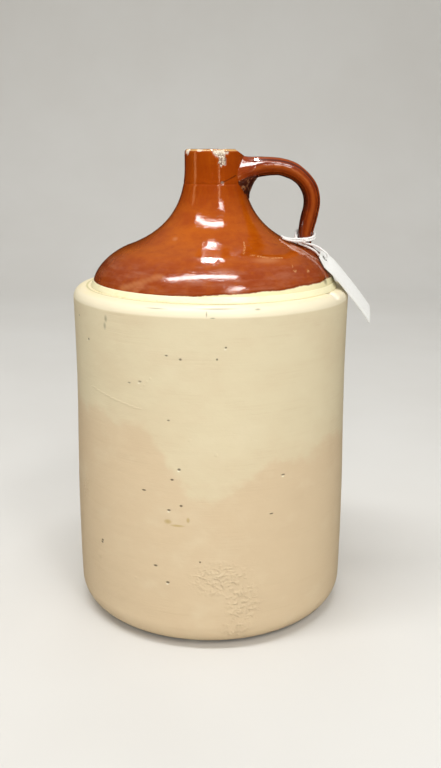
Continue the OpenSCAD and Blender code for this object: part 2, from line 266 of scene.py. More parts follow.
def spin_tree() -> bpy.types.NodeTree:
    """Builds the tree that spins a profile into a shell, as clay is turned on a wheel.

    The profile is a chain of edges in the XZ plane. Each of its points becomes a ring. Noise that runs
    round with the wheel leaves throwing rings, and slow noise warps the shell as drying and firing do. Both
    fade out towards the foot, where a piece stands flat.

    Returns:
        The tree.
    """
    tree, given = new_tree(
        "wheel",
        {
            "Turns": "Int", "Axis": "Float", "Ring Gap": "Float", "Ring Depth": "Float", "Warp Size": "Float",
            "Warp Depth": "Float", "Foot": "Float", "Seed": "Float", "Material": "Material",
        },
    )
    weld, fade, drift = 0.02 * MM, 8 * MM, 9.0
    profile = given.outputs["Geometry"]
    count = add(tree, "GeometryNodeAttributeDomainSize", {0: profile}).outputs["Point Count"]
    columns = add(tree, "ShaderNodeMath", {0: given.outputs["Turns"], 1: 1.0}, operation="ADD").outputs[0]
    grid = add(tree, "GeometryNodeMeshGrid", {"Vertices X": columns, "Vertices Y": count}).outputs["Mesh"]
    index = add(tree, "GeometryNodeInputIndex").outputs[0]
    row = add(tree, "ShaderNodeMath", {0: index, 1: count}, operation="FLOORED_MODULO").outputs[0]
    share = add(tree, "ShaderNodeMath", {0: index, 1: count}, operation="DIVIDE").outputs[0]
    column = add(tree, "ShaderNodeMath", {0: share}, operation="FLOOR").outputs[0]
    place = add(tree, "GeometryNodeInputPosition").outputs[0]
    found = add(
        tree, "GeometryNodeSampleIndex", {0: profile, 1: place, 2: row},
        data_type="FLOAT_VECTOR", domain="POINT",
    ).outputs[0]
    turn = add(tree, "ShaderNodeMath", {0: column, 1: given.outputs["Turns"]}, operation="DIVIDE").outputs[0]
    angle = add(tree, "ShaderNodeMath", {0: turn, 1: math.tau}, operation="MULTIPLY").outputs[0]
    spun = add(tree, "ShaderNodeVectorRotate", {"Vector": found, "Angle": angle}, rotation_type="Z_AXIS")
    shell = add(tree, "GeometryNodeSetPosition", {"Geometry": grid, "Position": spun.outputs[0]}).outputs[0]
    closed = add(tree, "GeometryNodeMergeByDistance", {"Geometry": shell, "Distance": weld}).outputs[0]

    x, y, z = add(tree, "ShaderNodeSeparateXYZ", {0: place}).outputs
    height = add(tree, "ShaderNodeMath", {0: z, 1: given.outputs["Ring Gap"]}, operation="DIVIDE").outputs[0]
    round_x, round_y = (
        add(tree, "ShaderNodeMath", {0: axis, 1: drift}, operation="MULTIPLY").outputs[0] for axis in (x, y)
    )
    wheel = add(tree, "ShaderNodeCombineXYZ", {0: round_x, 1: round_y, 2: height}).outputs[0]
    warp_size = given.outputs["Warp Size"]
    warp_scale = add(tree, "ShaderNodeMath", {0: 1.0, 1: warp_size}, operation="DIVIDE").outputs[0]
    terms = []
    for vector, scale, detail, label in (
        (wheel, 1.0, 2.0, "Ring Depth"), (place, warp_scale, 1.0, "Warp Depth"),
    ):
        values = {"Vector": vector, "W": given.outputs["Seed"], "Scale": scale, "Detail": detail}
        texture = add(tree, "ShaderNodeTexNoise", values, noise_dimensions="4D").outputs[0]
        level = add(tree, "ShaderNodeMath", {0: texture, 1: 0.5}, operation="SUBTRACT").outputs[0]
        terms.append(add(tree, "ShaderNodeMath", {0: level, 1: given.outputs[label]}, operation="MULTIPLY"))
    total = add(tree, "ShaderNodeMath", {0: terms[0].outputs[0], 1: terms[1].outputs[0]}, operation="ADD")
    above = add(tree, "ShaderNodeMapRange", {0: z, 1: given.outputs["Foot"], 2: fade, 3: 0.0, 4: 1.0})
    depth = add(tree, "ShaderNodeMath", {0: total.outputs[0], 1: above.outputs[0]}, operation="MULTIPLY")
    outward = add(tree, "GeometryNodeInputNormal").outputs[0]
    push = add(tree, "ShaderNodeVectorMath", {0: outward, 3: depth.outputs[0]}, operation="SCALE")
    shift = add(tree, "ShaderNodeCombineXYZ", {0: given.outputs["Axis"]})
    offset = add(tree, "ShaderNodeVectorMath", {0: push.outputs[0], 1: shift.outputs[0]}, operation="ADD")
    moved = add(tree, "GeometryNodeSetPosition", {"Geometry": closed, "Offset": offset.outputs[0]}).outputs[0]
    end_tree(tree, moved, given.outputs["Material"])
    return tree


def twist_tree() -> bpy.types.NodeTree:
    """Builds the tree that lays plied string along a chain of edges, twisting as it goes.

    The section is a circle that is drawn in on two sides, where the two plies meet.

    Returns:
        The tree.
    """
    tree, given = new_tree(
        "plied_string",
        {"Radius": "Float", "Ply Depth": "Float", "Lay": "Float", "Step": "Float", "Material": "Material"},
    )
    chain = add(tree, "GeometryNodeMeshToCurve", {0: given.outputs["Geometry"]}).outputs[0]
    step, radius, ply_depth = (given.outputs[label] for label in ("Step", "Radius", "Ply Depth"))
    even = add(tree, "GeometryNodeResampleCurve", {"Curve": chain, "Length": step}, mode="LENGTH")
    along = add(tree, "GeometryNodeSplineParameter").outputs["Length"]
    turns = add(tree, "ShaderNodeMath", {0: along, 1: given.outputs["Lay"]}, operation="DIVIDE").outputs[0]
    tilt = add(tree, "ShaderNodeMath", {0: turns, 1: math.tau}, operation="MULTIPLY").outputs[0]
    twisted = add(tree, "GeometryNodeSetCurveTilt", {"Curve": even.outputs[0], "Tilt": tilt}).outputs[0]
    ring = add(tree, "GeometryNodeCurvePrimitiveCircle", {"Resolution": 16, "Radius": radius}).outputs[0]
    place = add(tree, "GeometryNodeInputPosition").outputs[0]
    x, y, _ = add(tree, "ShaderNodeSeparateXYZ", {0: place}).outputs
    angle = add(tree, "ShaderNodeMath", {0: y, 1: x}, operation="ARCTAN2").outputs[0]
    lobes = add(tree, "ShaderNodeMath", {0: angle, 1: 2.0}, operation="MULTIPLY").outputs[0]
    wave = add(tree, "ShaderNodeMath", {0: lobes}, operation="SINE").outputs[0]
    valley = add(tree, "ShaderNodeMath", {0: wave, 1: ply_depth, 2: 1.0}, operation="MULTIPLY_ADD")
    shaped = add(tree, "ShaderNodeVectorMath", {0: place, 3: valley.outputs[0]}, operation="SCALE").outputs[0]
    section = add(tree, "GeometryNodeSetPosition", {"Geometry": ring, "Position": shaped}).outputs[0]
    tube = add(
        tree, "GeometryNodeCurveToMesh", {"Curve": twisted, "Profile Curve": section, "Fill Caps": True}
    ).outputs[0]
    end_tree(tree, tube, given.outputs["Material"])
    return tree


def crumb_tree() -> bpy.types.NodeTree:
    """Builds the tree that scatters crumbs of clay over a surface.

    Returns:
        The tree.
    """
    tree, given = new_tree(
        "clay_crumbs", {"Spacing": "Float", "Crumb": "Float", "Seed": "Int", "Material": "Material"}
    )
    per_square_metre, smallest, largest = 3.0e5, (0.4, 0.4, 0.25), (1.25, 0.9, 0.6)
    seed = given.outputs["Seed"]
    spots = add(
        tree, "GeometryNodeDistributePointsOnFaces",
        {
            "Mesh": given.outputs["Geometry"], "Distance Min": given.outputs["Spacing"],
            "Density Max": per_square_metre, "Seed": seed,
        },
        distribute_method="POISSON",
    )
    grain = add(
        tree, "GeometryNodeMeshIcoSphere", {"Radius": given.outputs["Crumb"], "Subdivisions": 2}
    ).outputs[0]
    size = add(
        tree, "FunctionNodeRandomValue", {0: smallest, 1: largest, "Seed": seed}, data_type="FLOAT_VECTOR"
    )
    laid = add(
        tree, "GeometryNodeInstanceOnPoints",
        {
            "Points": spots.outputs["Points"], "Instance": grain, "Rotation": spots.outputs["Rotation"],
            "Scale": size.outputs[0],
        },
    )
    end_tree(tree, laid.outputs[0], given.outputs["Material"])
    return tree


class Finish:
    """A fired, spun or pressed surface, painted in layers onto one Principled shader.

    Each kind of surface is a class of its own that lays its layers, from the clay's colour up. Sizes are in
    millimetres. A mask is a socket that is 0 where a layer is absent and 1 where it is full.
    """

    def __init__(self, name: str, colour: str, roughness: float, **shader: float) -> None:
        """Starts the material.

        Args:
            name: Its name.
            colour: Its colour under all layers, in hex.
            roughness: Its roughness under all layers.
            shader: Values of the shader's other sockets, with _ for a blank.
        """
        self.material = bpy.data.materials.new(name)
        self.material.use_nodes = True
        self.tree = self.material.node_tree
        self.tree.nodes.clear()
        self.place = add(self.tree, "ShaderNodeTexCoord").outputs["Object"]
        axes = add(self.tree, "ShaderNodeSeparateXYZ", {0: self.place}).outputs
        self.x, self.y, self.z = (self.math("MULTIPLY", axis, 1 / MM) for axis in axes)
        self.colour: Any = linear(colour)
        self.roughness: Any = roughness
        self.height: Any = 0.0
        self.shader = add(
            self.tree, "ShaderNodeBsdfPrincipled", {label.replace("_", " "): v for label, v in shader.items()}
        )

    def math(self, operation: str, *values: Any) -> bpy.types.NodeSocket:
        """Works out one step of arithmetic on masks, places or numbers."""
        return add(self.tree, "ShaderNodeMath", dict(enumerate(values)), operation=operation).outputs[0]

    def ramp(self, value: Any, low: float, high: float) -> bpy.types.NodeSocket:
        """A mask that rises from 0 at low to 1 at high, or falls where low is the larger."""
        return add(
            self.tree, "ShaderNodeMapRange", {0: value, 1: low, 2: high}, interpolation_type="SMOOTHSTEP"
        ).outputs[0]

    def scaled(self, size: Sequence[float]) -> bpy.types.NodeSocket:
        """Measures the place in units of a size.

        Args:
            size: The unit along X, Y and Z, in millimetres.

        Returns:
            The place's socket.
        """
        per_metre = tuple(1 / (s * MM) for s in size)
        values = {0: self.place, 1: per_metre}
        return add(self.tree, "ShaderNodeVectorMath", values, operation="MULTIPLY").outputs[0]

    def noted(self, name: str) -> bpy.types.NodeSocket:
        """A mask that was written on the piece's points."""
        return add(self.tree, "ShaderNodeAttribute", attribute_name=name).outputs["Fac"]

    def cloud(self, size: Sequence[float], low: float, high: float, seed: float, detail: float = 3.0) -> Any:
        """A mask of soft patches.

        Args:
            size: About how long a patch is along X, Y and Z.
            low: The noise's level at which a patch starts.
            high: The level at which it is full.
            seed: Which noise.
            detail: How many finer noises lie over it.

        Returns:
            The mask.
        """
        values = {"Vector": self.scaled(size), "W": seed, "Scale": 1.0, "Detail": detail, "Roughness": 0.6}
        level = add(self.tree, "ShaderNodeTexNoise", values, noise_dimensions="4D").outputs[0]
        return self.ramp(level, low, high)

    def spots(self, gap: float, radius: float, chance: float, seed: float) -> bpy.types.NodeSocket:
        """A mask of small round spots.

        Args:
            gap: About how far apart they lie.
            radius: A spot's radius.
            chance: The share of places that hold one.
            seed: Which scatter.

        Returns:
            The mask.
        """
        values = {"Vector": self.scaled((gap,) * 3), "W": seed, "Scale": 1.0}
        cells = add(self.tree, "ShaderNodeTexVoronoi", values, voronoi_dimensions="4D")
        near = self.ramp(cells.outputs["Distance"], 1.2 * radius / gap, 0.5 * radius / gap)
        drawn = add(self.tree, "ShaderNodeSeparateColor", {0: cells.outputs["Color"]}).outputs[0]
        return self.math("MULTIPLY", near, self.math("LESS_THAN", drawn, chance))

    def blots(self, blots: Sequence[Blot], soft: float = 0.45) -> Any:
        """A mask of ovals at chosen places.

        Args:
            blots: The ovals.
            soft: How far an oval's edge fades, as a share of its size.

        Returns:
            The mask.
        """
        mask: Any = 0.0
        for blot in blots:
            way = self.place
            centre, shares = tuple(c * MM for c in blot.centre), tuple(1 / (h * MM) for h in blot.half)
            for operation, values in (("SUBTRACT", centre), ("MULTIPLY", shares)):
                node = add(self.tree, "ShaderNodeVectorMath", {0: way, 1: values}, operation=operation)
                way = node.outputs[0]
            span = add(self.tree, "ShaderNodeVectorMath", {0: way}, operation="LENGTH").outputs["Value"]
            mask = self.math("MAXIMUM", mask, self.ramp(span, 1 + soft, 1 - soft))
        return mask

    def paint(self, mask: Any, colour: str, strength: float = 1.0) -> None:
        """Lays a colour over the ones below it.

        Args:
            mask: Where it lies.
            colour: The colour in hex.
            strength: How much of it shows where the mask is full.
        """
        values = {0: self.math("MULTIPLY", mask, strength), 6: self.colour, 7: linear(colour)}
        self.colour = add(self.tree, "ShaderNodeMix", values, data_type="RGBA").outputs[2]

    def dull(self, mask: Any, roughness: float) -> None:
        """Changes the roughness under a mask."""
        values = {0: mask, 2: self.roughness, 3: roughness}
        self.roughness = add(self.tree, "ShaderNodeMix", values).outputs[0]

    def emboss(self, mask: Any, height: float) -> None:
        """Raises the surface by a height under a mask, or sinks it where the height is negative."""
        self.height = self.math("MULTIPLY_ADD", mask, height * MM, self.height)

    def done(self) -> bpy.types.Material:
        """Joins the layers to the shader.

        Returns:
            The finished material.
        """
        bump = add(self.tree, "ShaderNodeBump", {"Height": self.height, "Distance": 1.0, "Strength": 1.0})
        for label, value in (("Base Color", self.colour), ("Roughness", self.roughness)):
            if isinstance(value, bpy.types.NodeSocket):
                self.tree.links.new(value, self.shader.inputs[label])
            else:
                self.shader.inputs[label].default_value = value
        self.tree.links.new(bump.outputs[0], self.shader.inputs["Normal"])
        add(self.tree, "ShaderNodeOutputMaterial", {0: self.shader.outputs[0]})
        return self.material


@dataclass(frozen=True)
class Blot:
    """A painted spot: its middle and its half sizes along X, Y and Z."""

    centre: Place
    half: Place


@dataclass(frozen=True)
class Mark:
    """A scar in a turned surface.

    Attributes:
        scar: What kind of fault it is.
        angle: Degrees round the axis from the front, positive towards the handle.
        height: Height above the foot.
        half: Half its width along the surface and half its height.
        depth: How deep it goes, or how far a lump stands out.
        bare: Share of the glaze that is gone from it.
        ragged: How far noise eats into its edge, as a share of its size.
    """

    scar: Scar
    angle: float
    height: float
    half: tuple[float, float]
    depth: float
    bare: float = 0.0
    ragged: float = 0.3


@dataclass(frozen=True)
class Sizes:
    """The jug's sizes. The ones that a packed box shows are read from the frame.

    Attributes:
        ledge_z: Height of the ledge on which the dome stands.
        top_z: Height of the lip.
        dome_r: The dome's radius on the ledge.
        axis_x: How far the neck's axis stands towards the handle.
        foot_r: Outer radius of the wall above the foot's rounding.
        rim_r: Outer radius of the wall below the rim's rounding.
        foot_round: Radius of the foot's edge.
        rim_round: Radius of the rim's edge.
        belly: How far the wall swells out below and draws in above.
        wall_t: Thickness of the wall.
        floor_t: Thickness of the floor.
        floor_fillet: Radius of the corner between the floor and the wall.
        shelf_t: Thickness of the shelf under the dome.
        shelf_reach: How far the shelf reaches in under the dome's foot.
        shelf_cove: Radius of the corner under the shelf.
        neck_r: Outer radius of the neck.
        neck_h: Height of its straight part.
        dome_t: Thickness of the dome's wall.
        mouth_r: Radius of the bore.
        bore_h: Height of the bore.
        lip_round: Radius of the lip's outer edge.
        mouth_round: Radius of the lip's inner edge.
        lip_slope_r: Where, towards the handle, the worn slope of the lip starts.
        lip_slope_deg: How steep that slope is.
    """

    ledge_z: float
    top_z: float
    dome_r: float
    axis_x: float
    foot_r: float = 122.0
    rim_r: float = 121.0
    foot_round: float = 22.0
    rim_round: float = 9.6
    belly: float = 0.8
    wall_t: float = 11.0
    floor_t: float = 13.0
    floor_fillet: float = 18.0
    shelf_t: float = 12.0
    shelf_reach: float = 13.0
    shelf_cove: float = 10.0
    neck_r: float = 25.4
    neck_h: float = 14.5
    dome_t: float = 9.0
    mouth_r: float = 14.0
    bore_h: float = 30.0
    lip_round: float = 3.0
    mouth_round: float = 2.0
    lip_slope_r: float = 17.5
    lip_slope_deg: float = 34.0

    @classmethod
    def from_frame(cls) -> Sizes:
        """Reads the ledge's height, the top, the dome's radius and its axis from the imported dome.

        Returns:
            The jug's sizes.
        """
        low, high = (np.array(corner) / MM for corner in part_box("shoulder_dome"))
        across, along = (high[1] - low[1]) / 2, (low[0] + high[0]) / 2
        return cls(ledge_z=low[2], top_z=high[2], dome_r=across, axis_x=along)

    @property
    def rim_middle(self) -> tuple[float, float]:
        """Centre of the rim's rounding."""
        return self.rim_r - self.rim_round, self.ledge_z - self.rim_round

    def wall(self, share: float) -> tuple[float, float]:
        """A point of the wall's outside.

        Args:
            share: How far it lies on the way from the foot's rounding to the rim's.

        Returns:
            Its radius and height.
        """
        swell = self.belly * math.sin(math.tau * share)
        height = self.foot_round + (self.rim_middle[1] - self.foot_round) * share
        return self.foot_r + (self.rim_r - self.foot_r) * share + swell, height

    def shoulder(self) -> Line:
        """Draws the dome's outer line, which turns out below and up into the neck above.

        Returns:
            Its radii about the neck's axis and its heights, from the ledge to the neck's straight part.
        """
        turn_out_share, turn_rise_share, turn = 0.625, 0.33, math.radians(20)
        pull_shares = (0.142, 0.14, 0.39, 0.3)
        straight_z = self.top_z - self.neck_h
        rise = straight_z - self.ledge_z
        foot, neck = (self.dome_r, self.ledge_z), (self.neck_r, straight_z)
        bend_r = self.neck_r + turn_out_share * (self.dome_r - self.neck_r)
        bend = (bend_r, self.ledge_z + turn_rise_share * rise)
        way = (-math.cos(turn), math.sin(turn))
        pulls = [share * rise for share in pull_shares]
        before = (bend[0] - pulls[1] * way[0], bend[1] - pulls[1] * way[1])
        after = (bend[0] + pulls[2] * way[0], bend[1] + pulls[2] * way[1])
        lower = cubic(foot, (foot[0], foot[1] + pulls[0]), before, bend, 40)
        upper = cubic(bend, after, (neck[0], neck[1] - pulls[3]), neck, 60)
        return [foot, *lower, *upper]

    def shoulder_z(self, radius: float) -> float:
        """Height of the dome's outside at a radius from the neck's axis."""
        line = np.array(self.shoulder())[::-1]
        return float(np.interp(radius, line[:, 0], line[:, 1]))


@dataclass(frozen=True)
class Lamp:
    """A soft rectangular lamp.

    Attributes:
        name: What it is.
        place: Its middle.
        size: Its sides. The first one lies along X where the lamp faces down.
        power: Its watts.
        tilt: Degrees by which it is turned about X and Z from facing down.
        mirrored: Whether the glaze shows it as a highlight.
        lights: Whether it lights the ware, besides its highlight.
        colour: Its light.
    """

    name: str
    place: Place
    size: tuple[float, float]
    power: float
    tilt: tuple[float, float] = (0.0, 0.0)
    mirrored: bool = True
    lights: bool = True
    colour: str = "#FFFFFF"


@dataclass(frozen=True)
class Studio:
    """The camera, the pale backdrop and the lamps.

    Attributes:
        eye: Where the camera stands.
        pitch: How far it looks down, in radians.
        yaw: How far it looks to the right.
        roll: How far it leans to the left.
        lens: Its focal length.
        fill: Colour and strength of the room's even light.
        sky: What the glaze mirrors of the ceiling.
        ground: What the glaze mirrors of the lower room.
        lamps: The lamps. Some give the ware its highlights alone, and some its light alone.
    """

    eye: Place = (0.0, -0.775883, 0.411155)
    pitch: float = 0.2664
    yaw: float = 0.0114
    roll: float = 0.0040
    lens: float = 41.12
    fill: tuple[str, float] = ("#F4F1EC", 0.5)
    sky: tuple[str, float] = ("#E6EAF0", 0.2)
    ground: tuple[str, float] = ("#8A857C", 0.05)
    lamps: tuple[Lamp, ...] = (
        Lamp("ceiling_strip", (-0.36, -0.45, 2.4), (1.8, 0.3), 34.0),
        Lamp("rear_ceiling", (-0.045, 1.1, 2.4), (0.16, 0.6), 20.0, lights=False),
        Lamp("rear_fill", (-0.1, 2.2, 1.8), (1.4, 1.0), 9.0, (-65.0, 0.0), mirrored=False),
        Lamp("front_right", (0.9, -1.9, 2.4), (0.5, 0.8), 22.0),
        Lamp("window", (-2.4, -0.5, 1.0), (0.4, 2.0), 5.0, (90.0, -102.0), lights=False, colour="#FFC88C"),
        Lamp("doorway", (0.8, -2.3, 1.3), (0.2, 1.9), 5.0, (90.0, 19.0), lights=False, colour="#FFD2A0"),
        Lamp("front_fill", (0.1, -3.2, 1.5), (1.6, 1.2), 34.0, (65.0, 0.0), mirrored=False),
    )

    def build(self) -> None:
        """Makes the camera, the world, the lamps and the backdrop."""
        scene = bpy.context.scene
        camera = bpy.data.objects.new("camera", bpy.data.cameras.new("camera"))
        camera.data.lens = self.lens
        camera.data.clip_start = 0.01
        turned = Matrix.Rotation(-self.yaw, 4, "Z") @ Matrix.Rotation(math.pi / 2 - self.pitch, 4, "X")
        camera.matrix_world = Matrix.Translation(self.eye) @ turned @ Matrix.Rotation(self.roll, 4, "Z")
        scene.collection.objects.link(camera)
        scene.camera = camera
        scene.view_settings.view_transform = "Standard"
        for lamp in self.lamps:
            data = bpy.data.lights.new(lamp.name, "AREA")
            data.shape = "RECTANGLE"
            data.size, data.size_y = lamp.size
            data.energy = lamp.power
            data.color = linear(lamp.colour)[:3]
            obj = bpy.data.objects.new(lamp.name, data)
            obj.location = lamp.place
            obj.rotation_euler = (math.radians(lamp.tilt[0]), 0.0, math.radians(lamp.tilt[1]))
            obj.visible_glossy = lamp.mirrored
            obj.visible_diffuse = lamp.lights
            scene.collection.objects.link(obj)
        self.light_world()
        self.hang_backdrop()

    def light_world(self) -> None:
        """Fills the room with a soft light. The glaze mirrors a ceiling brighter than the walls."""
        world = bpy.data.worlds.new("room")
        world.use_nodes = True
        tree = world.node_tree
        tree.nodes.clear()
        fill, sky, ground = (
            add(tree, "ShaderNodeBackground", {0: linear(colour), 1: strength}).outputs[0]
            for colour, strength in (self.fill, self.sky, self.ground)
        )
        way = add(tree, "ShaderNodeTexCoord").outputs["Generated"]
        up = add(tree, "ShaderNodeSeparateXYZ", {0: way}).outputs[2]
        low, high = 0.1, 0.95
        share = add(
            tree, "ShaderNodeMapRange", {0: up, 1: low, 2: high}, interpolation_type="SMOOTHSTEP"
        ).outputs[0]
        room = add(tree, "ShaderNodeMixShader", {0: share, 1: ground, 2: sky}).outputs[0]
        mirrored = add(tree, "ShaderNodeLightPath").outputs["Is Glossy Ray"]
        mixed = add(tree, "ShaderNodeMixShader", {0: mirrored, 1: fill, 2: room})
        add(tree, "ShaderNodeOutputWorld", {0: mixed.outputs[0]})
        bpy.context.scene.world = world

    def hang_backdrop(self) -> None:
        """Lays a pale sheet that runs over the floor and up the wall behind in one sweep."""
        reach, near, wall_y, bend, top = 3000.0, 600.0, 2600.0, 900.0, 3200.0
        sweep = arc((wall_y - bend, bend), bend, -90, 0, 24)
        line = [(-reach, 0.0), (-near, 0.0), (near, 0.0), *sweep, (wall_y, top)]
        points = [(x, y, z) for x in (-reach, reach) for y, z in line]
        rows = len(line)
        sheet = make_object("backdrop", points, [(i, i + rows, i + rows + 1, i + 1) for i in range(rows - 1)])
        sheet.data.materials.append(Paper().done())
        sheet.visible_glossy = False


def spun(name: str, profile: Line, turns: int, tree: bpy.types.NodeTree, values: dict) -> bpy.types.Object:
    """Spins a profile into a shell whose faces look outwards.

    Args:
        name: The shell's name.
        profile: Its radii and heights.
        turns: How many parts it has round its axis.
        tree: The wheel's tree.
        values: What the tree's other inputs are set to.

    Returns:
        The shell.
    """
    points = [(radius, 0.0, height) for radius, height in profile]
    obj = make_object(name, points, [], [(i, i + 1) for i in range(len(points) - 1)])
    apply_tree(obj, tree, {"Turns": turns, **values})
    return faced_out(obj)


def faced_out(obj: bpy.types.Object) -> bpy.types.Object:
    """Turns a closed mesh's faces outwards, going by the sign of its volume.

    Args:
        obj: The piece.

    Returns:
        The same piece.
    """
    mesh = bmesh.new()
    mesh.from_mesh(obj.data)
    if mesh.calc_volume(signed=True) < 0:
        bmesh.ops.reverse_faces(mesh, faces=mesh.faces)
        mesh.to_mesh(obj.data)
    mesh.free()
    return obj


def read_points(mesh: bpy.types.Mesh) -> np.ndarray:
    """Reads a mesh's points.

    Args:
        mesh: The mesh.

    Returns:
        One row for each point, in millimetres.
    """
    flat = np.empty(len(mesh.vertices) * 3)
    mesh.vertices.foreach_get("co", flat)
    return flat.reshape(-1, 3) / MM


def read_normals(mesh: bpy.types.Mesh) -> np.ndarray:
    """Reads the directions out of a mesh.

    Args:
        mesh: The mesh.

    Returns:
        One row for each point, of length 1.
    """
    flat = np.empty(len(mesh.vertices) * 3)
    mesh.vertex_normals.foreach_get("vector", flat)
    return flat.reshape(-1, 3)


def write_points(mesh: bpy.types.Mesh, points: np.ndarray) -> None:
    """Puts a mesh's points, given in millimetres, back."""
    mesh.vertices.foreach_set("co", (points * MM).ravel())
    mesh.update()


def rough(points: np.ndarray, size: float, seed: float) -> np.ndarray:
    """Noise from about -1 to 1.

    Args:
        points: Where it is read, in millimetres.
        size: About how long its patches are.
        seed: Which noise.

    Returns:
        Its level at each point.
    """
    shift = Vector((seed * 7.3, seed * 3.1, seed * 5.7))
    return np.array([noise.noise(Vector(p) / size + shift) for p in points])


def scar(obj: bpy.types.Object, marks: Sequence[Mark], axis_x: float = 0.0) -> None:
    """Works chips, dents and lumps into a turned piece, and notes where its clay is laid bare.

    Args:
        obj: The piece.
        marks: Its scars.
        axis_x: Where its axis stands, in millimetres.
    """
    search, rim, flat_in_chip, flat_elsewhere = 2.0, 1.15, 0.75, 0.1
    edge_share, fracture_share, fracture_depth = 0.6, 0.35, 0.5
    upward_counts = 8
    mesh = obj.data
    points, normals = read_points(mesh), read_normals(mesh)
    bare = np.zeros(len(points))
    centred = points - (axis_x, 0, 0)
    radii = np.hypot(centred[:, 0], centred[:, 1])
    angles = np.degrees(np.arctan2(centred[:, 0], -centred[:, 1]))
    outward = np.einsum("ij,ij->i", normals[:, :2], centred[:, :2]) + normals[:, 2] * upward_counts > 0
    moved = points.copy()
    for number, mark in enumerate(marks):
        away = (angles - mark.angle + 180) % 360 - 180
        across = np.radians(away) * radii / mark.half[0]
        up = (points[:, 2] - mark.height) / mark.half[1]
        near = np.flatnonzero(outward & (across**2 + up**2 < search**2))
        if not len(near):
            LOG.warning("a %s at %.0f degrees meets no surface", mark.scar.value, mark.angle)
            continue
        chipped = mark.scar is Scar.CHIP
        size = min(mark.half)
        edge = rough(points[near], size * edge_share, number + 1)
        span = np.sqrt(across[near] ** 2 + up[near] ** 2) + mark.ragged * edge
        full = smooth(span, rim, flat_in_chip if chipped else flat_elsewhere)
        sign = 1 if mark.scar is Scar.LUMP else -1
        fracture = 1 + fracture_depth * chipped * rough(points[near], size * fracture_share, number + 31)
        moved[near] += (sign * mark.depth * full * fracture)[:, None] * normals[near]
        bare[near] = np.maximum(bare[near], full * mark.bare)
    write_points(mesh, moved)
    note(obj, "bare", bare)


def dress(obj: bpy.types.Object, slot: str, *nodes: str, body: str = JUG) -> bpy.types.Object:
    """Lets a piece ride on a body and hides the nodes of the construction that it stands for.

    Args:
        obj: The piece.
        slot: The record's material slot. It is not used.
        nodes: The nodes that it replaces.
        body: The body that it rides on.

    Returns:
        The same piece.
    """
    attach(obj, body)
    if nodes:
        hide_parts(*nodes)
    return obj


class Paper(Finish):
    """The backdrop's matt paper, faintly cloudy."""

    def __init__(self) -> None:
        """Lays its layers."""
        super().__init__("paper", "#D9D8D4", 0.9)
        self.paint(self.cloud((400, 400, 400), 0.3, 0.7, 3.0), "#D3D1CC", 0.6)


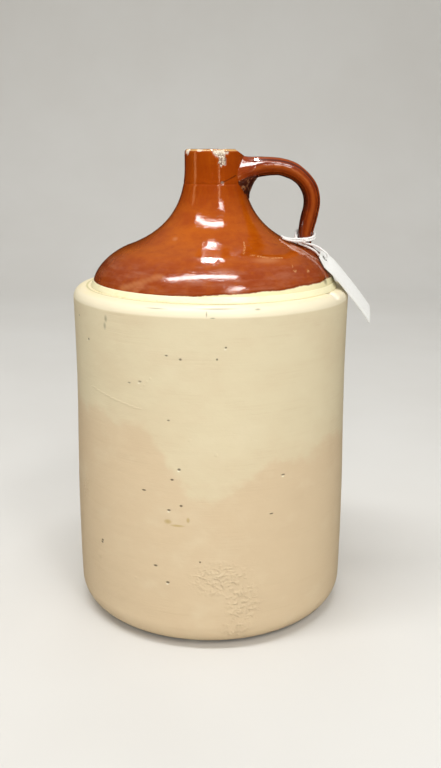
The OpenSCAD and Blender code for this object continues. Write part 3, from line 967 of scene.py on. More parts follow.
class CreamGlaze(Finish):
    """Satin cream glaze on jiggered stoneware.

    It shows the wheel's streaks and pinholes. A paler run of glaze hangs down the front, the foot is
    pinker, and the glaze lies yellow on the ledge. The pale band on the rim is thick glaze and a painted
    highlight, the dark line at the foot is dirt on the bare edge and a painted contact shadow, and pale
    lips under some pinholes are painted highlights.
    """

    run_z, left_rise, right_rise, wander = 144.0, 58.0, 27.0, 26.0
    rim_z, ledge_z, foot_z = (283.0, 284.8), (290.0, 291.9), (3.0, 1.4)

    def __init__(self) -> None:
        """Lays its layers."""
        super().__init__("cream_glaze", "#DCC5A1", 0.45, Coat_Weight=0.1, Coat_Roughness=0.3)
        drift = self.cloud((34, 34, 26), 0.2, 0.8, 2.0, 5.0)
        self.paint(self.ramp(self.z, 150.0, 250.0), "#E0CDAA")
        self.paint(self.run(drift), "#E2D7B4", 0.65)
        self.paint(self.cloud((70, 70, 40), 0.4, 0.75, 5.0), "#D5BC98", 0.35)
        self.paint(self.cloud((34, 34, 26), 0.5, 0.8, 15.0), "#E9DCBC", 0.3)
        patches = self.cloud((45, 45, 18), 0.45, 0.65, 27.0)
        streaks = self.math("MULTIPLY", self.cloud((60, 60, 1.8), 0.4, 0.75, 7.0, 4.0), patches)
        self.paint(streaks, "#CDB48E", 0.2)
        self.emboss(streaks, -0.08)
        self.emboss(self.cloud((50, 50, 0.6), 0.4, 0.75, 9.0, 2.0), -0.015)
        self.emboss(self.cloud((16, 16, 10), 0.3, 0.75, 17.0), 0.12)
        # The pale band on the rim: thick glaze, and a painted highlight where the rounded rim faces the
        # lamps.
        self.paint(self.ramp(self.z, *self.rim_z), "#EFE4C6", 0.9)
        self.paint(self.math("MULTIPLY", self.ramp(self.z, *self.ledge_z), drift), "#F0E0AC", 0.6)
        self.paint(self.joint(), "#C9C08A", 0.75)
        self.faults()
        # A dark line at the foot: dirt on the bare edge, and a painted contact shadow.
        self.paint(self.ramp(self.z, *self.foot_z), "#5F4A2E", 0.8)
        bare = self.noted("bare")
        self.paint(bare, "#EFE8D4")
        self.dull(streaks, 0.55)
        self.dull(bare, 0.85)

    def run(self, drift: bpy.types.NodeSocket) -> bpy.types.NodeSocket:
        """A mask of the paler run on the front, which hangs lowest in the middle.

        Args:
            drift: The slow noise that bends its edge.

        Returns:
            The mask.
        """
        left, right = self.ramp(self.x, -12.0, -64.0), self.ramp(self.x, 0.0, 60.0)
        edge = self.math("MULTIPLY_ADD", left, self.left_rise, self.math("MULTIPLY", right, self.right_rise))
        above = self.math("SUBTRACT", self.math("ADD", self.z, -self.run_z), edge)
        inside = self.ramp(self.math("MULTIPLY_ADD", drift, self.wander, above), 2.0, 16.0)
        return self.math("MULTIPLY", self.ramp(self.y, 30.0, -60.0), inside)

    def joint(self) -> bpy.types.NodeSocket:
        """Finds the thin groove round the ledge, where the glaze is greener.

        Returns:
            The groove's mask.
        """
        square = self.math("MULTIPLY_ADD", self.x, self.x, self.math("MULTIPLY", self.y, self.y))
        away = self.math("ABSOLUTE", self.math("SUBTRACT", self.math("SQRT", square), GROOVE_R))
        return self.math("MULTIPLY", self.ramp(away, 1.3, 0.4), self.ramp(self.z, 290.5, 291.5))

    def faults(self) -> None:
        """Lays the smudges, stains, pinholes, raised lines and blisters, and painted highlights on the lower
        lips of some pinholes.
        """
        self.paint(self.blots(SMUDGES, 0.8), "#8F8768", 0.75)
        self.paint(self.blots(STAINS, 0.7), "#B89A50", 0.6)
        pits = self.math("MAXIMUM", self.spots(12.0, 0.5, 0.2, 4.0), self.blots(PITS, 0.5))
        self.paint(pits, "#4E3B26", 0.8)
        self.emboss(pits, -0.4)
        # Pale lips just under some pinholes: painted highlights.
        self.paint(self.blots(PIT_EDGES, 0.7), "#F8F2DE", 0.7)
        self.emboss(self.blots(RAISED, 0.4), 0.18)
        grain = self.cloud((4.2, 4.2, 3.2), 0.4, 0.75, 33.0, 1.0)
        self.emboss(self.math("MULTIPLY", self.blots(ROUGH_PATCHES, 0.6), grain), 0.9)
        self.emboss(self.spots(21.0, 1.6, 0.35, 14.0), 0.15)


class BrownGlaze(Finish):
    """Glossy brown slip glaze on a moulded dome.

    It breaks to amber on the curves, is hazy low on the shoulder, and ends in a pale line at the ledge. Low
    on the shoulder a darker band and a pale veil are painted reflections of the room, and a painted shadow
    of the tag lies on its side towards the handle.
    """

    line_lean, line_wave = -0.0405, -2.2
    dark_line_z, pale_line_z = (299.6, 298.4), (298.0, 296.9)
    axis_x, lip_rs, lip_z = 2.7, (19.5, 22.5), (405.4, 406.8)

    def __init__(self) -> None:
        """Lays its layers."""
        super().__init__("brown_glaze", "#A04507", 0.07, Coat_Weight=0.45, Coat_Roughness=0.03)
        self.paint(self.cloud((30, 30, 12), 0.35, 0.7, 1.0, 4.0), "#B65A0A", 0.85)
        self.paint(self.ramp(self.z, 345.0, 375.0), "#963A06", 0.75)
        # A darker, redder band low on the shoulder: painted reflection of the dark room below.
        self.paint(self.ramp(self.z, 326.0, 312.0), "#8E3A14", 0.85)
        # A pale veil on patches of that band: painted reflection of the room's diffuse light. The same
        # patches are made rougher as haze.
        patches = self.cloud((24, 24, 5), 0.4, 0.75, 23.0, 4.0)
        hazy = self.math("MULTIPLY", self.ramp(self.z, 326.0, 314.0), patches)
        self.paint(hazy, "#C08060", 0.3)
        self.paint(self.cloud((7, 7, 60), 0.45, 0.7, 3.0, 3.0), "#BC6010", 0.25)
        self.paint(self.cloud((9, 9, 2.2), 0.55, 0.75, 29.0, 4.0), "#7A2C08", 0.35)
        self.paint(self.blots(THIN_GLAZE, 0.8), "#C98452", 0.45)
        broken = self.cloud((1.1, 1.1, 1.1), 0.42, 0.58, 37.0, 2.0)
        self.paint(self.math("MULTIPLY", self.blots(GLAZE_SCARS, 0.8), broken), "#DDA366", 0.8)
        self.paint(self.blots(CRACKS, 0.6), "#3A1406", 0.7)
        self.paint(self.spots(7.0, 0.35, 0.3, 2.0), "#E0A868", 0.7)
        self.paint(self.spots(10.0, 0.55, 0.22, 6.0), "#4E1C08", 0.7)
        self.end_line()
        # A painted shadow of the tag, dark olive, on the shoulder beneath it.
        self.paint(self.blots(TAG_SHADOW, 0.8), "#4A3A10", 0.7)
        self.paint(self.worn_lip(), "#DDB070", 0.9)
        bare = self.noted("bare")
        grains = self.cloud((1.6, 1.6, 1.6), 0.42, 0.56, 21.0)
        dirt = self.math("MULTIPLY", grains, self.ramp(self.z, 405.5, 402.0))
        self.paint(bare, "#EFE2CC")
        self.paint(self.math("MULTIPLY", bare, dirt), "#5E3018", 0.9)
        self.dull(hazy, 0.25)
        self.dull(bare, 0.9)
        self.emboss(self.cloud((14, 14, 9), 0.2, 0.8, 16.0, 2.0), 0.1)
        self.emboss(self.cloud((4, 4, 2.5), 0.35, 0.7, 19.0, 3.0), 0.05)
        self.emboss(self.cloud((40, 40, 1.4), 0.3, 0.7, 18.0, 3.0), 0.03)

    def end_line(self) -> None:
        """Ends the glaze in a wavy line, dark above and pale below, that leans down towards the handle."""
        line = self.math("MULTIPLY_ADD", self.x, self.line_lean, self.z)
        line = self.math("MULTIPLY_ADD", self.cloud((16, 16, 16), 0.1, 0.9, 8.0), self.line_wave, line)
        self.paint(self.ramp(line, *self.dark_line_z), "#6A2A0E", 0.5)
        self.paint(self.ramp(line, *self.pale_line_z), "#F6EBBC")

    def worn_lip(self) -> bpy.types.NodeSocket:
        """Finds the lip's outer edge, where the glaze is worn thin.

        Returns:
            The edge's mask.
        """
        beside = self.math("ADD", self.x, -self.axis_x)
        square = self.math("MULTIPLY_ADD", beside, beside, self.math("MULTIPLY", self.y, self.y))
        outer = self.ramp(square, *(r**2 for r in self.lip_rs))
        edge = self.math("MULTIPLY", outer, self.cloud((7, 7, 7), 0.2, 0.45, 12.0))
        return self.math("MULTIPLY", self.ramp(self.z, *self.lip_z), edge)


class HandleGlaze(Finish):
    """Glossy darker brown glaze on a pulled strap, thin on its ribs and thick in the valleys, with painted
    shade on its underside.
    """

    label = "handle_glaze"

    def __init__(self) -> None:
        """Lays its layers."""
        super().__init__(self.label, "#7E2E0A", 0.14, Coat_Weight=0.5, Coat_Roughness=0.06)
        self.paint(self.cloud((9, 9, 12), 0.4, 0.7, 1.0, 4.0), "#98420E", 0.7)
        self.paint(self.spots(6.0, 0.35, 0.25, 2.0), "#C98F5A", 0.6)
        self.emboss(self.cloud((5, 5, 9), 0.2, 0.8, 5.0), 0.12)
        rib = self.noted("rib")
        self.paint(self.ramp(rib, 0.5, 0.95), "#AC5418", 0.6)
        # Darker where the glaze lies thick in the valleys, and on the underside as painted shade.
        self.paint(self.ramp(rib, 0.45, 0.05), "#3E1206", 0.7)


class LuteGlaze(HandleGlaze):
    """The handle's glaze over smoothed clay, and the darkest glaze where the clay was left torn, with painted
    highlights on its crumbs.
    """

    label = "lute_clay"

    def __init__(self) -> None:
        """Lays its layers over the handle's."""
        super().__init__()
        self.paint(self.noted("necked"), "#963C08", 0.85)
        frayed = self.math("MULTIPLY_ADD", self.cloud((4, 4, 4), 0.3, 0.7, 6.0), 0.5, self.noted("torn"))
        ragged = self.ramp(frayed, 0.55, 0.85)
        self.paint(ragged, "#32100A", 0.85)
        # Light flecks on the torn clay: painted highlights where its crumbs catch the light.
        thin = self.math("MULTIPLY", ragged, self.cloud((3.0, 3.0, 3.0), 0.54, 0.62, 4.0, 3.0))
        self.paint(thin, "#C08A5C", 0.65)
        self.dull(ragged, 0.3)
        self.emboss(self.math("MULTIPLY", ragged, self.cloud((2.4, 2.4, 2.4), 0.3, 0.7, 7.0, 4.0)), 0.6)


class PooledGlaze(Finish):
    """Satin yellow-cream glaze, pooled and dirty in the corner of the ledge."""

    def __init__(self) -> None:
        """Lays its layers."""
        super().__init__("slip_fillet", "#FAF2C8", 0.35, Coat_Weight=0.2, Coat_Roughness=0.2)
        self.paint(self.cloud((14, 14, 4), 0.5, 0.7, 1.0, 4.0), "#EEDCA4", 0.6)
        self.paint(self.cloud((5, 5, 3), 0.68, 0.78, 4.0, 3.0), "#8E6A34", 0.6)
        self.emboss(self.cloud((5, 5, 3), 0.3, 0.7, 7.0), 0.2)


class Cotton(Finish):
    """White spun cotton, soft at grazing angles and faintly shaded between its fibres."""

    # A cotton fibre is 0.02 mm thick, which is too fine to show, so bundles of 0.25 mm are drawn
    bundle = 0.25

    def __init__(self) -> None:
        """Lays its layers."""
        super().__init__("cotton_string", "#FBFAF7", 0.85, Sheen_Weight=0.3)
        fibres = self.cloud((self.bundle,) * 3, 0.35, 0.7, 1.0, 2.0)
        self.paint(fibres, "#E6E4DC", 0.5)
        self.emboss(fibres, -0.05)


class BareCard(Finish):
    """Matt white card with the faint grain of its pulp and thumbed edges."""

    # The pulp's grain is about 0.1 mm long and is drawn seven times as coarse, so that it shows
    grain = 0.7

    def __init__(self) -> None:
        """Lays its layers."""
        super().__init__("tag_stock", "#EEEEEA", 0.75)
        self.paint(self.cloud((3, 3, 3), 0.4, 0.7, 1.0, 4.0), "#E4E3DD", 0.5)
        self.emboss(self.cloud((self.grain,) * 3, 0.3, 0.7, 2.0), 0.02)
        self.paint(self.noted("edge"), "#D8D6CE", 0.6)


def at(angle: float, height: float, radius: float, half: Sequence[float]) -> Blot:
    """Places a blot on a turned piece.

    Args:
        angle: Degrees round the axis from the front, positive towards the handle.
        height: Height above the foot.
        radius: Radius from the axis.
        half: Half its size along the surface, through it and up.

    Returns:
        The blot.
    """
    turn = math.radians(angle)
    across, through, up = half
    share = abs(math.sin(turn))
    widths = (across * (1 - share) + through * share, across * share + through * (1 - share))
    return Blot((radius * math.sin(turn), -radius * math.cos(turn), height), (*widths, up))


def chain(start: Place, end: Place, half: Place, count: int) -> tuple[Blot, ...]:
    """Places blots in a row, for a line or a streak.

    Args:
        start: Where the first one lies.
        end: Where the last one lies.
        half: Half the size of each.
        count: How many there are.

    Returns:
        The blots.
    """
    shares = [i / (count - 1) for i in range(count)]
    return tuple(Blot(tuple(a + (b - a) * t for a, b in zip(start, end)), half) for t in shares)


PITS = tuple(
    at(angle, height, 122.0, (half * 0.62, 3.0, half * 0.8))
    for angle, height, half in (
        (-57, 255.9, 1.3), (-16.5, 253.6, 0.9), (-11.2, 251.1, 1.2), (5.4, 261, 1.0), (2.2, 251.7, 1.1),
        (-32.7, 228.1, 1.0), (-27.7, 230.4, 1.2), (-66.3, 272.7, 0.9), (-16, 201.1, 0.9),
        (-12, 160.9, 1.2), (-14.8, 151.8, 1.0), (-26.5, 139.7, 0.9), (-16.1, 125.5, 1.0),
        (-11.3, 130.1, 1.1), (-21.9, 74.6, 1.1), (-16.9, 60.9, 1.2), (-4.1, 81.6, 0.9), (24, 120, 0.7),
        (29, 152, 0.7), (-49.2, 81.8, 1.0), (-49.5, 79.8, 1.1),
    )
)
# Pale marks just under every third pinhole: a painted highlight on its lower lip.
PIT_EDGES = tuple(
    Blot((pit.centre[0] - 0.4, pit.centre[1], pit.centre[2] - 1.5), (1.0, 3.0, 0.6)) for pit in PITS[::3]
)
SMUDGES = (
    at(-20.5, 289.6, 115.5, (10.0, 4.0, 0.4)), at(2.4, 290.4, 116.5, (12.0, 4.0, 0.45)),
    at(17.7, 289.4, 117.5, (1.6, 3.0, 0.6)), at(-44.2, 277.0, 122.0, (0.4, 3.0, 2.4)),
    at(-45.0, 271.0, 122.0, (0.35, 3.0, 2.6)), at(-1.6, 287.0, 120.6, (0.4, 3.0, 1.8)),
    at(0.6, 284.0, 121.4, (1.6, 3.0, 0.4)),
)
STAINS = (
    at(-16.6, 115.4, 122.4, (2.6, 3.0, 1.8)), at(-12.8, 112.6, 122.4, (5.5, 3.0, 0.9)),
    at(-8.6, 118.0, 122.4, (0.9, 3.0, 2.0)),
)
RAISED = (
    *chain((-98.0, -72.0, 216.0), (-60.0, -106.0, 208.0), (4.5, 4.5, 0.7), 9),
    *chain((-58.0, -108.0, 222.0), (-48.0, -112.0, 234.0), (1.2, 2.0, 1.2), 5),
)
ROUGH_PATCHES = (
    at(4.0, 66.0, 122.0, (22.0, 10.0, 13.0)), at(13.0, 42.0, 122.0, (15.0, 10.0, 20.0)),
    at(10.0, 18.0, 120.0, (10.0, 12.0, 9.0)), at(-64.0, 122.0, 122.0, (8.0, 10.0, 10.0)),
    at(140.0, 60.0, 122.0, (26.0, 26.0, 18.0)), at(-140.0, 90.0, 122.0, (20.0, 20.0, 14.0)),
)
THIN_GLAZE = (
    Blot((-29.7, -44.6, 335.8), (2.0, 3.0, 1.6)),
    *chain((-70.5, -76.0, 299.5), (-40.0, -86.0, 310.5), (4.5, 5.0, 2.0), 9),
    Blot((45.0, -71.0, 322.0), (10.0, 10.0, 1.8)),
)
GLAZE_SCARS = (
    *chain((26.9, -53.0, 333.8), (27.6, -60.0, 330.9), (0.6, 1.4, 0.9), 5),
    *chain((27.2, -62.0, 330.0), (26.3, -69.0, 326.9), (0.8, 1.4, 0.9), 5),
    *chain((33.0, -69.4, 325.5), (44.6, -68.9, 323.6), (1.6, 2.0, 0.5), 6),
    *chain((50.0, -66.5, 323.0), (57.5, -62.0, 322.7), (1.6, 2.0, 0.4), 4),
    Blot((67.8, -70.1, 313.1), (1.5, 3.0, 0.9)), Blot((79.4, -59.4, 311.6), (1.3, 3.0, 1.2)),
    Blot((66.0, -66.0, 316.0), (0.5, 2.0, 1.2)),
)
CRACKS = (
    *chain((9.6, -25.0, 380.6), (20.5, -18.8, 386.0), (0.8, 1.2, 0.5), 18),
    Blot((9.1, -25.3, 380.6), (0.9, 2.0, 0.9)),
)
# Where the painted shadow of the tag lies on the shoulder.
TAG_SHADOW = (
    Blot((89.0, -48.9, 303.5), (2.2, 3.0, 3.0)), Blot((94.5, -46.5, 301.0), (2.4, 3.4, 2.6)),
)
BODY_MARKS = (
    Mark(Scar.CHIP, 62.0, 291.0, (4.5, 3.2), 1.4, bare=0.9),
    Mark(Scar.CHIP, -8.0, 1.0, (4.5, 1.6), 0.9, bare=0.9),
    Mark(Scar.CHIP, 0.5, 1.0, (1.8, 1.4), 0.6, bare=0.8),
    Mark(Scar.LUMP, 12.0, 52.0, (2.6, 2.6), 0.8),
    Mark(Scar.LUMP, 8.5, 35.0, (3.0, 2.2), 0.7),
    Mark(Scar.LUMP, 8.5, 15.0, (3.0, 3.6), 0.8),
    Mark(Scar.LUMP, -62.0, 118.0, (2.2, 3.0), 0.6),
    Mark(Scar.LUMP, -52.0, 66.0, (2.4, 3.0), 0.6),
    Mark(Scar.DENT, -20.0, 110.0, (16.0, 12.0), 0.35),
    Mark(Scar.DENT, 34.0, 190.0, (22.0, 15.0), 0.4),
    Mark(Scar.DENT, 150.0, 120.0, (26.0, 18.0), 0.45),
    Mark(Scar.DENT, -130.0, 220.0, (20.0, 16.0), 0.4),
    Mark(Scar.LUMP, 118.0, 70.0, (3.0, 4.0), 0.7),
    Mark(Scar.LUMP, -165.0, 160.0, (4.0, 3.0), 0.7),
)
DOME_MARKS = (
    Mark(Scar.CHIP, 11.0, 404.8, (6.4, 3.0), 1.3, bare=1.0, ragged=0.6),
    Mark(Scar.CHIP, 14.0, 400.4, (3.6, 5.4), 1.1, bare=1.0, ragged=0.8),
    Mark(Scar.CHIP, 19.5, 397.5, (1.6, 2.6), 0.7, bare=0.9, ragged=0.7),
    Mark(Scar.CHIP, -65.0, 405.8, (4.0, 2.4), 0.9, bare=0.9, ragged=0.45),
    Mark(Scar.CHIP, -30.0, 406.8, (3.0, 1.2), 0.4, bare=0.7, ragged=0.45),
    Mark(Scar.CHIP, 15.0, 380.4, (1.6, 1.1), 0.6, bare=0.25),
    Mark(Scar.CHIP, 160.0, 406.4, (5.0, 1.8), 0.7, bare=0.8, ragged=0.45),
    Mark(Scar.DENT, -40.0, 318.0, (24.0, 12.0), 0.3),
    Mark(Scar.DENT, 30.0, 312.0, (14.0, 5.0), 0.3),
    Mark(Scar.LUMP, 100.0, 330.0, (6.0, 5.0), 0.3),
)


@dataclass(frozen=True)
class LowerBody:
    """The jiggered half: foot, wall, rounded rim, grooved ledge, shelf and floor.

    Attributes:
        sizes: The jug's sizes.
        turns: How many parts the shell has round its axis.
        groove_half: Half the width of the groove on the ledge.
        groove_depth: Its depth.
        step: The longest part of the outside's line.
        hidden_step: The longest part of the lines that don't show.
    """

    sizes: Sizes
    turns: int = 400
    groove_half: float = 0.6
    groove_depth: float = 0.6
    step: float = 1.8
    hidden_step: float = 40.0

    def outside(self) -> Line:
        """Draws the side of the body that shows.

        Returns:
            The line from the foot's flat up the wall, over the rim and along the ledge to the dome.
        """
        sizes = self.sizes
        flat_r = sizes.foot_r - sizes.foot_round
        return [
            (flat_r, 0.0),
            *arc((flat_r, sizes.foot_round), sizes.foot_round, -90, 0, 22),
            *(sizes.wall(i / 12) for i in range(1, 12)),
            *arc(sizes.rim_middle, sizes.rim_round, 0, 90, 14),
            (GROOVE_R + self.groove_half, sizes.ledge_z), (GROOVE_R, sizes.ledge_z - self.groove_depth),
            (GROOVE_R - self.groove_half, sizes.ledge_z), (sizes.dome_r, sizes.ledge_z),
        ]

    def inside(self) -> Line:
        """Draws the body's hollow.

        Returns:
            The line from the shelf's edge down to the middle of the floor.
        """
        sizes = self.sizes
        shelf_r, under_z = sizes.dome_r - sizes.shelf_reach, sizes.ledge_z - sizes.shelf_t
        cove = (sizes.rim_r - sizes.wall_t - sizes.shelf_cove, under_z - sizes.shelf_cove)
        floor = (sizes.foot_r - sizes.wall_t - sizes.floor_fillet, sizes.floor_t + sizes.floor_fillet)
        return [
            (shelf_r, sizes.ledge_z), (shelf_r, under_z), *arc(cove, sizes.shelf_cove, 80, 0, 6),
            *arc(floor, sizes.floor_fillet, 0, -90, 6), (0.0, sizes.floor_t),
        ]

    def build(self, wheel: bpy.types.NodeTree, material: bpy.types.Material) -> bpy.types.Object:
        """Turns the body, scars it and dresses it.

        Args:
            wheel: The tree that spins a profile.
            material: Its glaze.

        Returns:
            The dressed piece.
        """
        under = [(0.0, 0.0), (self.hidden_step, 0.0), (2 * self.hidden_step, 0.0)]
        inside = resampled(self.inside(), self.hidden_step)
        profile = [*under, *resampled(self.outside(), self.step), *inside]
        settings = {
            "Axis": 0.0, "Ring Gap": 5.5 * MM, "Ring Depth": 0.22 * MM, "Warp Size": 70 * MM,
            "Warp Depth": 0.6 * MM, "Foot": 1.0 * MM, "Seed": 2.0, "Material": material,
        }
        obj = spun("lower_body_ware", profile, self.turns, wheel, settings)
        scar(obj, BODY_MARKS)
        return dress(obj, "cream_glaze", "lower_body")


@dataclass(frozen=True)
class Dome:
    """The moulded half: shoulder, neck and chipped lip, with its hollow and the mouth's bore.

    Attributes:
        sizes: The jug's sizes.
        turns: How many parts the shell has round its axis.
        ring_z: Height of the line that is cut round the neck.
        ring_half: Half its width.
        ring_depth: Its depth.
        step: The longest part of the outside's line.
        hidden_step: The longest part of the hollow's line.
        worn_h: How far below the lip's top its slope may reach.
    """

    sizes: Sizes
    turns: int = 400
    ring_z: float = 379.0
    ring_half: float = 0.7
    ring_depth: float = 0.35
    step: float = 1.3
    hidden_step: float = 8.0
    worn_h: float = 10.0

    def outside(self) -> Line:
        """Draws the side of the dome that shows, with the cut line round its neck.

        Returns:
            The line from the ledge up the shoulder and the neck and over the lip.
        """
        sizes = self.sizes
        middle = (sizes.neck_r - sizes.lip_round, sizes.top_z - sizes.lip_round)
        line = resampled([*sizes.shoulder(), *arc(middle, sizes.lip_round, 0, 90, 10)], self.step)
        cuts = [math.exp(-(((z - self.ring_z) / self.ring_half) ** 2)) for _, z in line]
        return [(r - self.ring_depth * cut, z) for (r, z), cut in zip(line, cuts)]

    def inside(self) -> Line:
        """Draws the dome's hollow, which follows its outside.

        Returns:
            The line from the bore's lower end down to the ledge.
        """
        sizes = self.sizes
        outer = np.array(sizes.shoulder())
        bore_z = sizes.top_z - sizes.mouth_round - sizes.bore_h
        ways = np.gradient(outer, axis=0)
        ways /= np.linalg.norm(ways, axis=1)[:, None]
        moved_in = outer + sizes.dome_t * np.stack([-ways[:, 1], ways[:, 0]], axis=1)
        hollow = [tuple(p) for p in moved_in if sizes.ledge_z < p[1] < bore_z - sizes.dome_t]
        return [(sizes.mouth_r, bore_z), *hollow[::-1][::6], (hollow[0][0], sizes.ledge_z), tuple(outer[0])]

    def slope_lip(self, obj: bpy.types.Object) -> None:
        """Wears the lip down on the handle's side, to a plane that slopes away from the mouth.

        Args:
            obj: The dome.
        """
        sizes = self.sizes
        points = read_points(obj.data)
        out = points[:, 0] - (sizes.axis_x + sizes.lip_slope_r)
        plane = sizes.top_z - math.tan(math.radians(sizes.lip_slope_deg)) * out
        near_top = points[:, 2] > sizes.top_z - self.worn_h
        points[:, 2] = np.where(near_top, np.minimum(points[:, 2], plane), points[:, 2])
        write_points(obj.data, points)

    def build(self, wheel: bpy.types.NodeTree, material: bpy.types.Material) -> bpy.types.Object:
        """Turns the dome, wears its lip, scars it and dresses it.

        Args:
            wheel: The tree that spins a profile.
            material: Its glaze.

        Returns:
            The dressed piece.
        """
        sizes = self.sizes
        middle = (sizes.mouth_r + sizes.mouth_round, sizes.top_z - sizes.mouth_round)
        mouth = arc(middle, sizes.mouth_round, 90, 180, 8)
        profile = [*self.outside(), *mouth, *resampled(self.inside(), self.hidden_step)]
        settings = {
            "Axis": sizes.axis_x * MM, "Ring Gap": 6.0 * MM, "Ring Depth": 0.25 * MM, "Warp Size": 45 * MM,
            "Warp Depth": 0.8 * MM, "Foot": 293.5 * MM, "Seed": 5.0, "Material": material,
        }
        obj = spun("shoulder_dome_ware", profile, self.turns, wheel, settings)
        self.slope_lip(obj)
        scar(obj, DOME_MARKS, sizes.axis_x)
        return dress(obj, "brown_glaze", "shoulder_dome")


@dataclass(frozen=True)
class SlipRing:
    """The fillet of slip that was run round the joint with a wet finger.

    Attributes:
        sizes: The jug's sizes.
        turns: How many parts it has round its axis.
        width: How far it reaches over the ledge.
        height: How far it reaches up the dome.
        sunk: How far it reaches into the dome's wall.
    """

    sizes: Sizes
    turns: int = 400
    width: float = 2.1
    height: float = 5.0
    sunk: float = 4.0

    def build(self, wheel: bpy.types.NodeTree, material: bpy.types.Material) -> bpy.types.Object:
        """Turns the fillet and dresses it.

        Args:
            wheel: The tree that spins a profile.
            material: Its glaze.

        Returns:
            The dressed piece.
        """
        dome_r, low, high = self.sizes.dome_r, self.sizes.ledge_z, self.sizes.ledge_z + self.height
        face = cubic(
            (dome_r + self.width, low), (dome_r + self.width * 0.8, low + self.height * 0.3),
            (dome_r + self.width * 0.35, low + self.height * 0.55), (dome_r - 0.5, high), 10,
        )
        profile = [(dome_r - self.sunk, low), (dome_r + self.width, low), *face, (dome_r - self.sunk, high)]
        settings = {
            "Axis": self.sizes.axis_x * MM, "Ring Gap": 40 * MM, "Ring Depth": 0.5 * MM, "Warp Size": 9 * MM,
            "Warp Depth": 0.7 * MM, "Foot": low * MM, "Seed": 8.0, "Material": material,
        }
        obj = spun("slip_fillet_ring", [*profile, profile[0]], self.turns, wheel, settings)
        return dress(obj, "slip_fillet", "shoulder_lute")


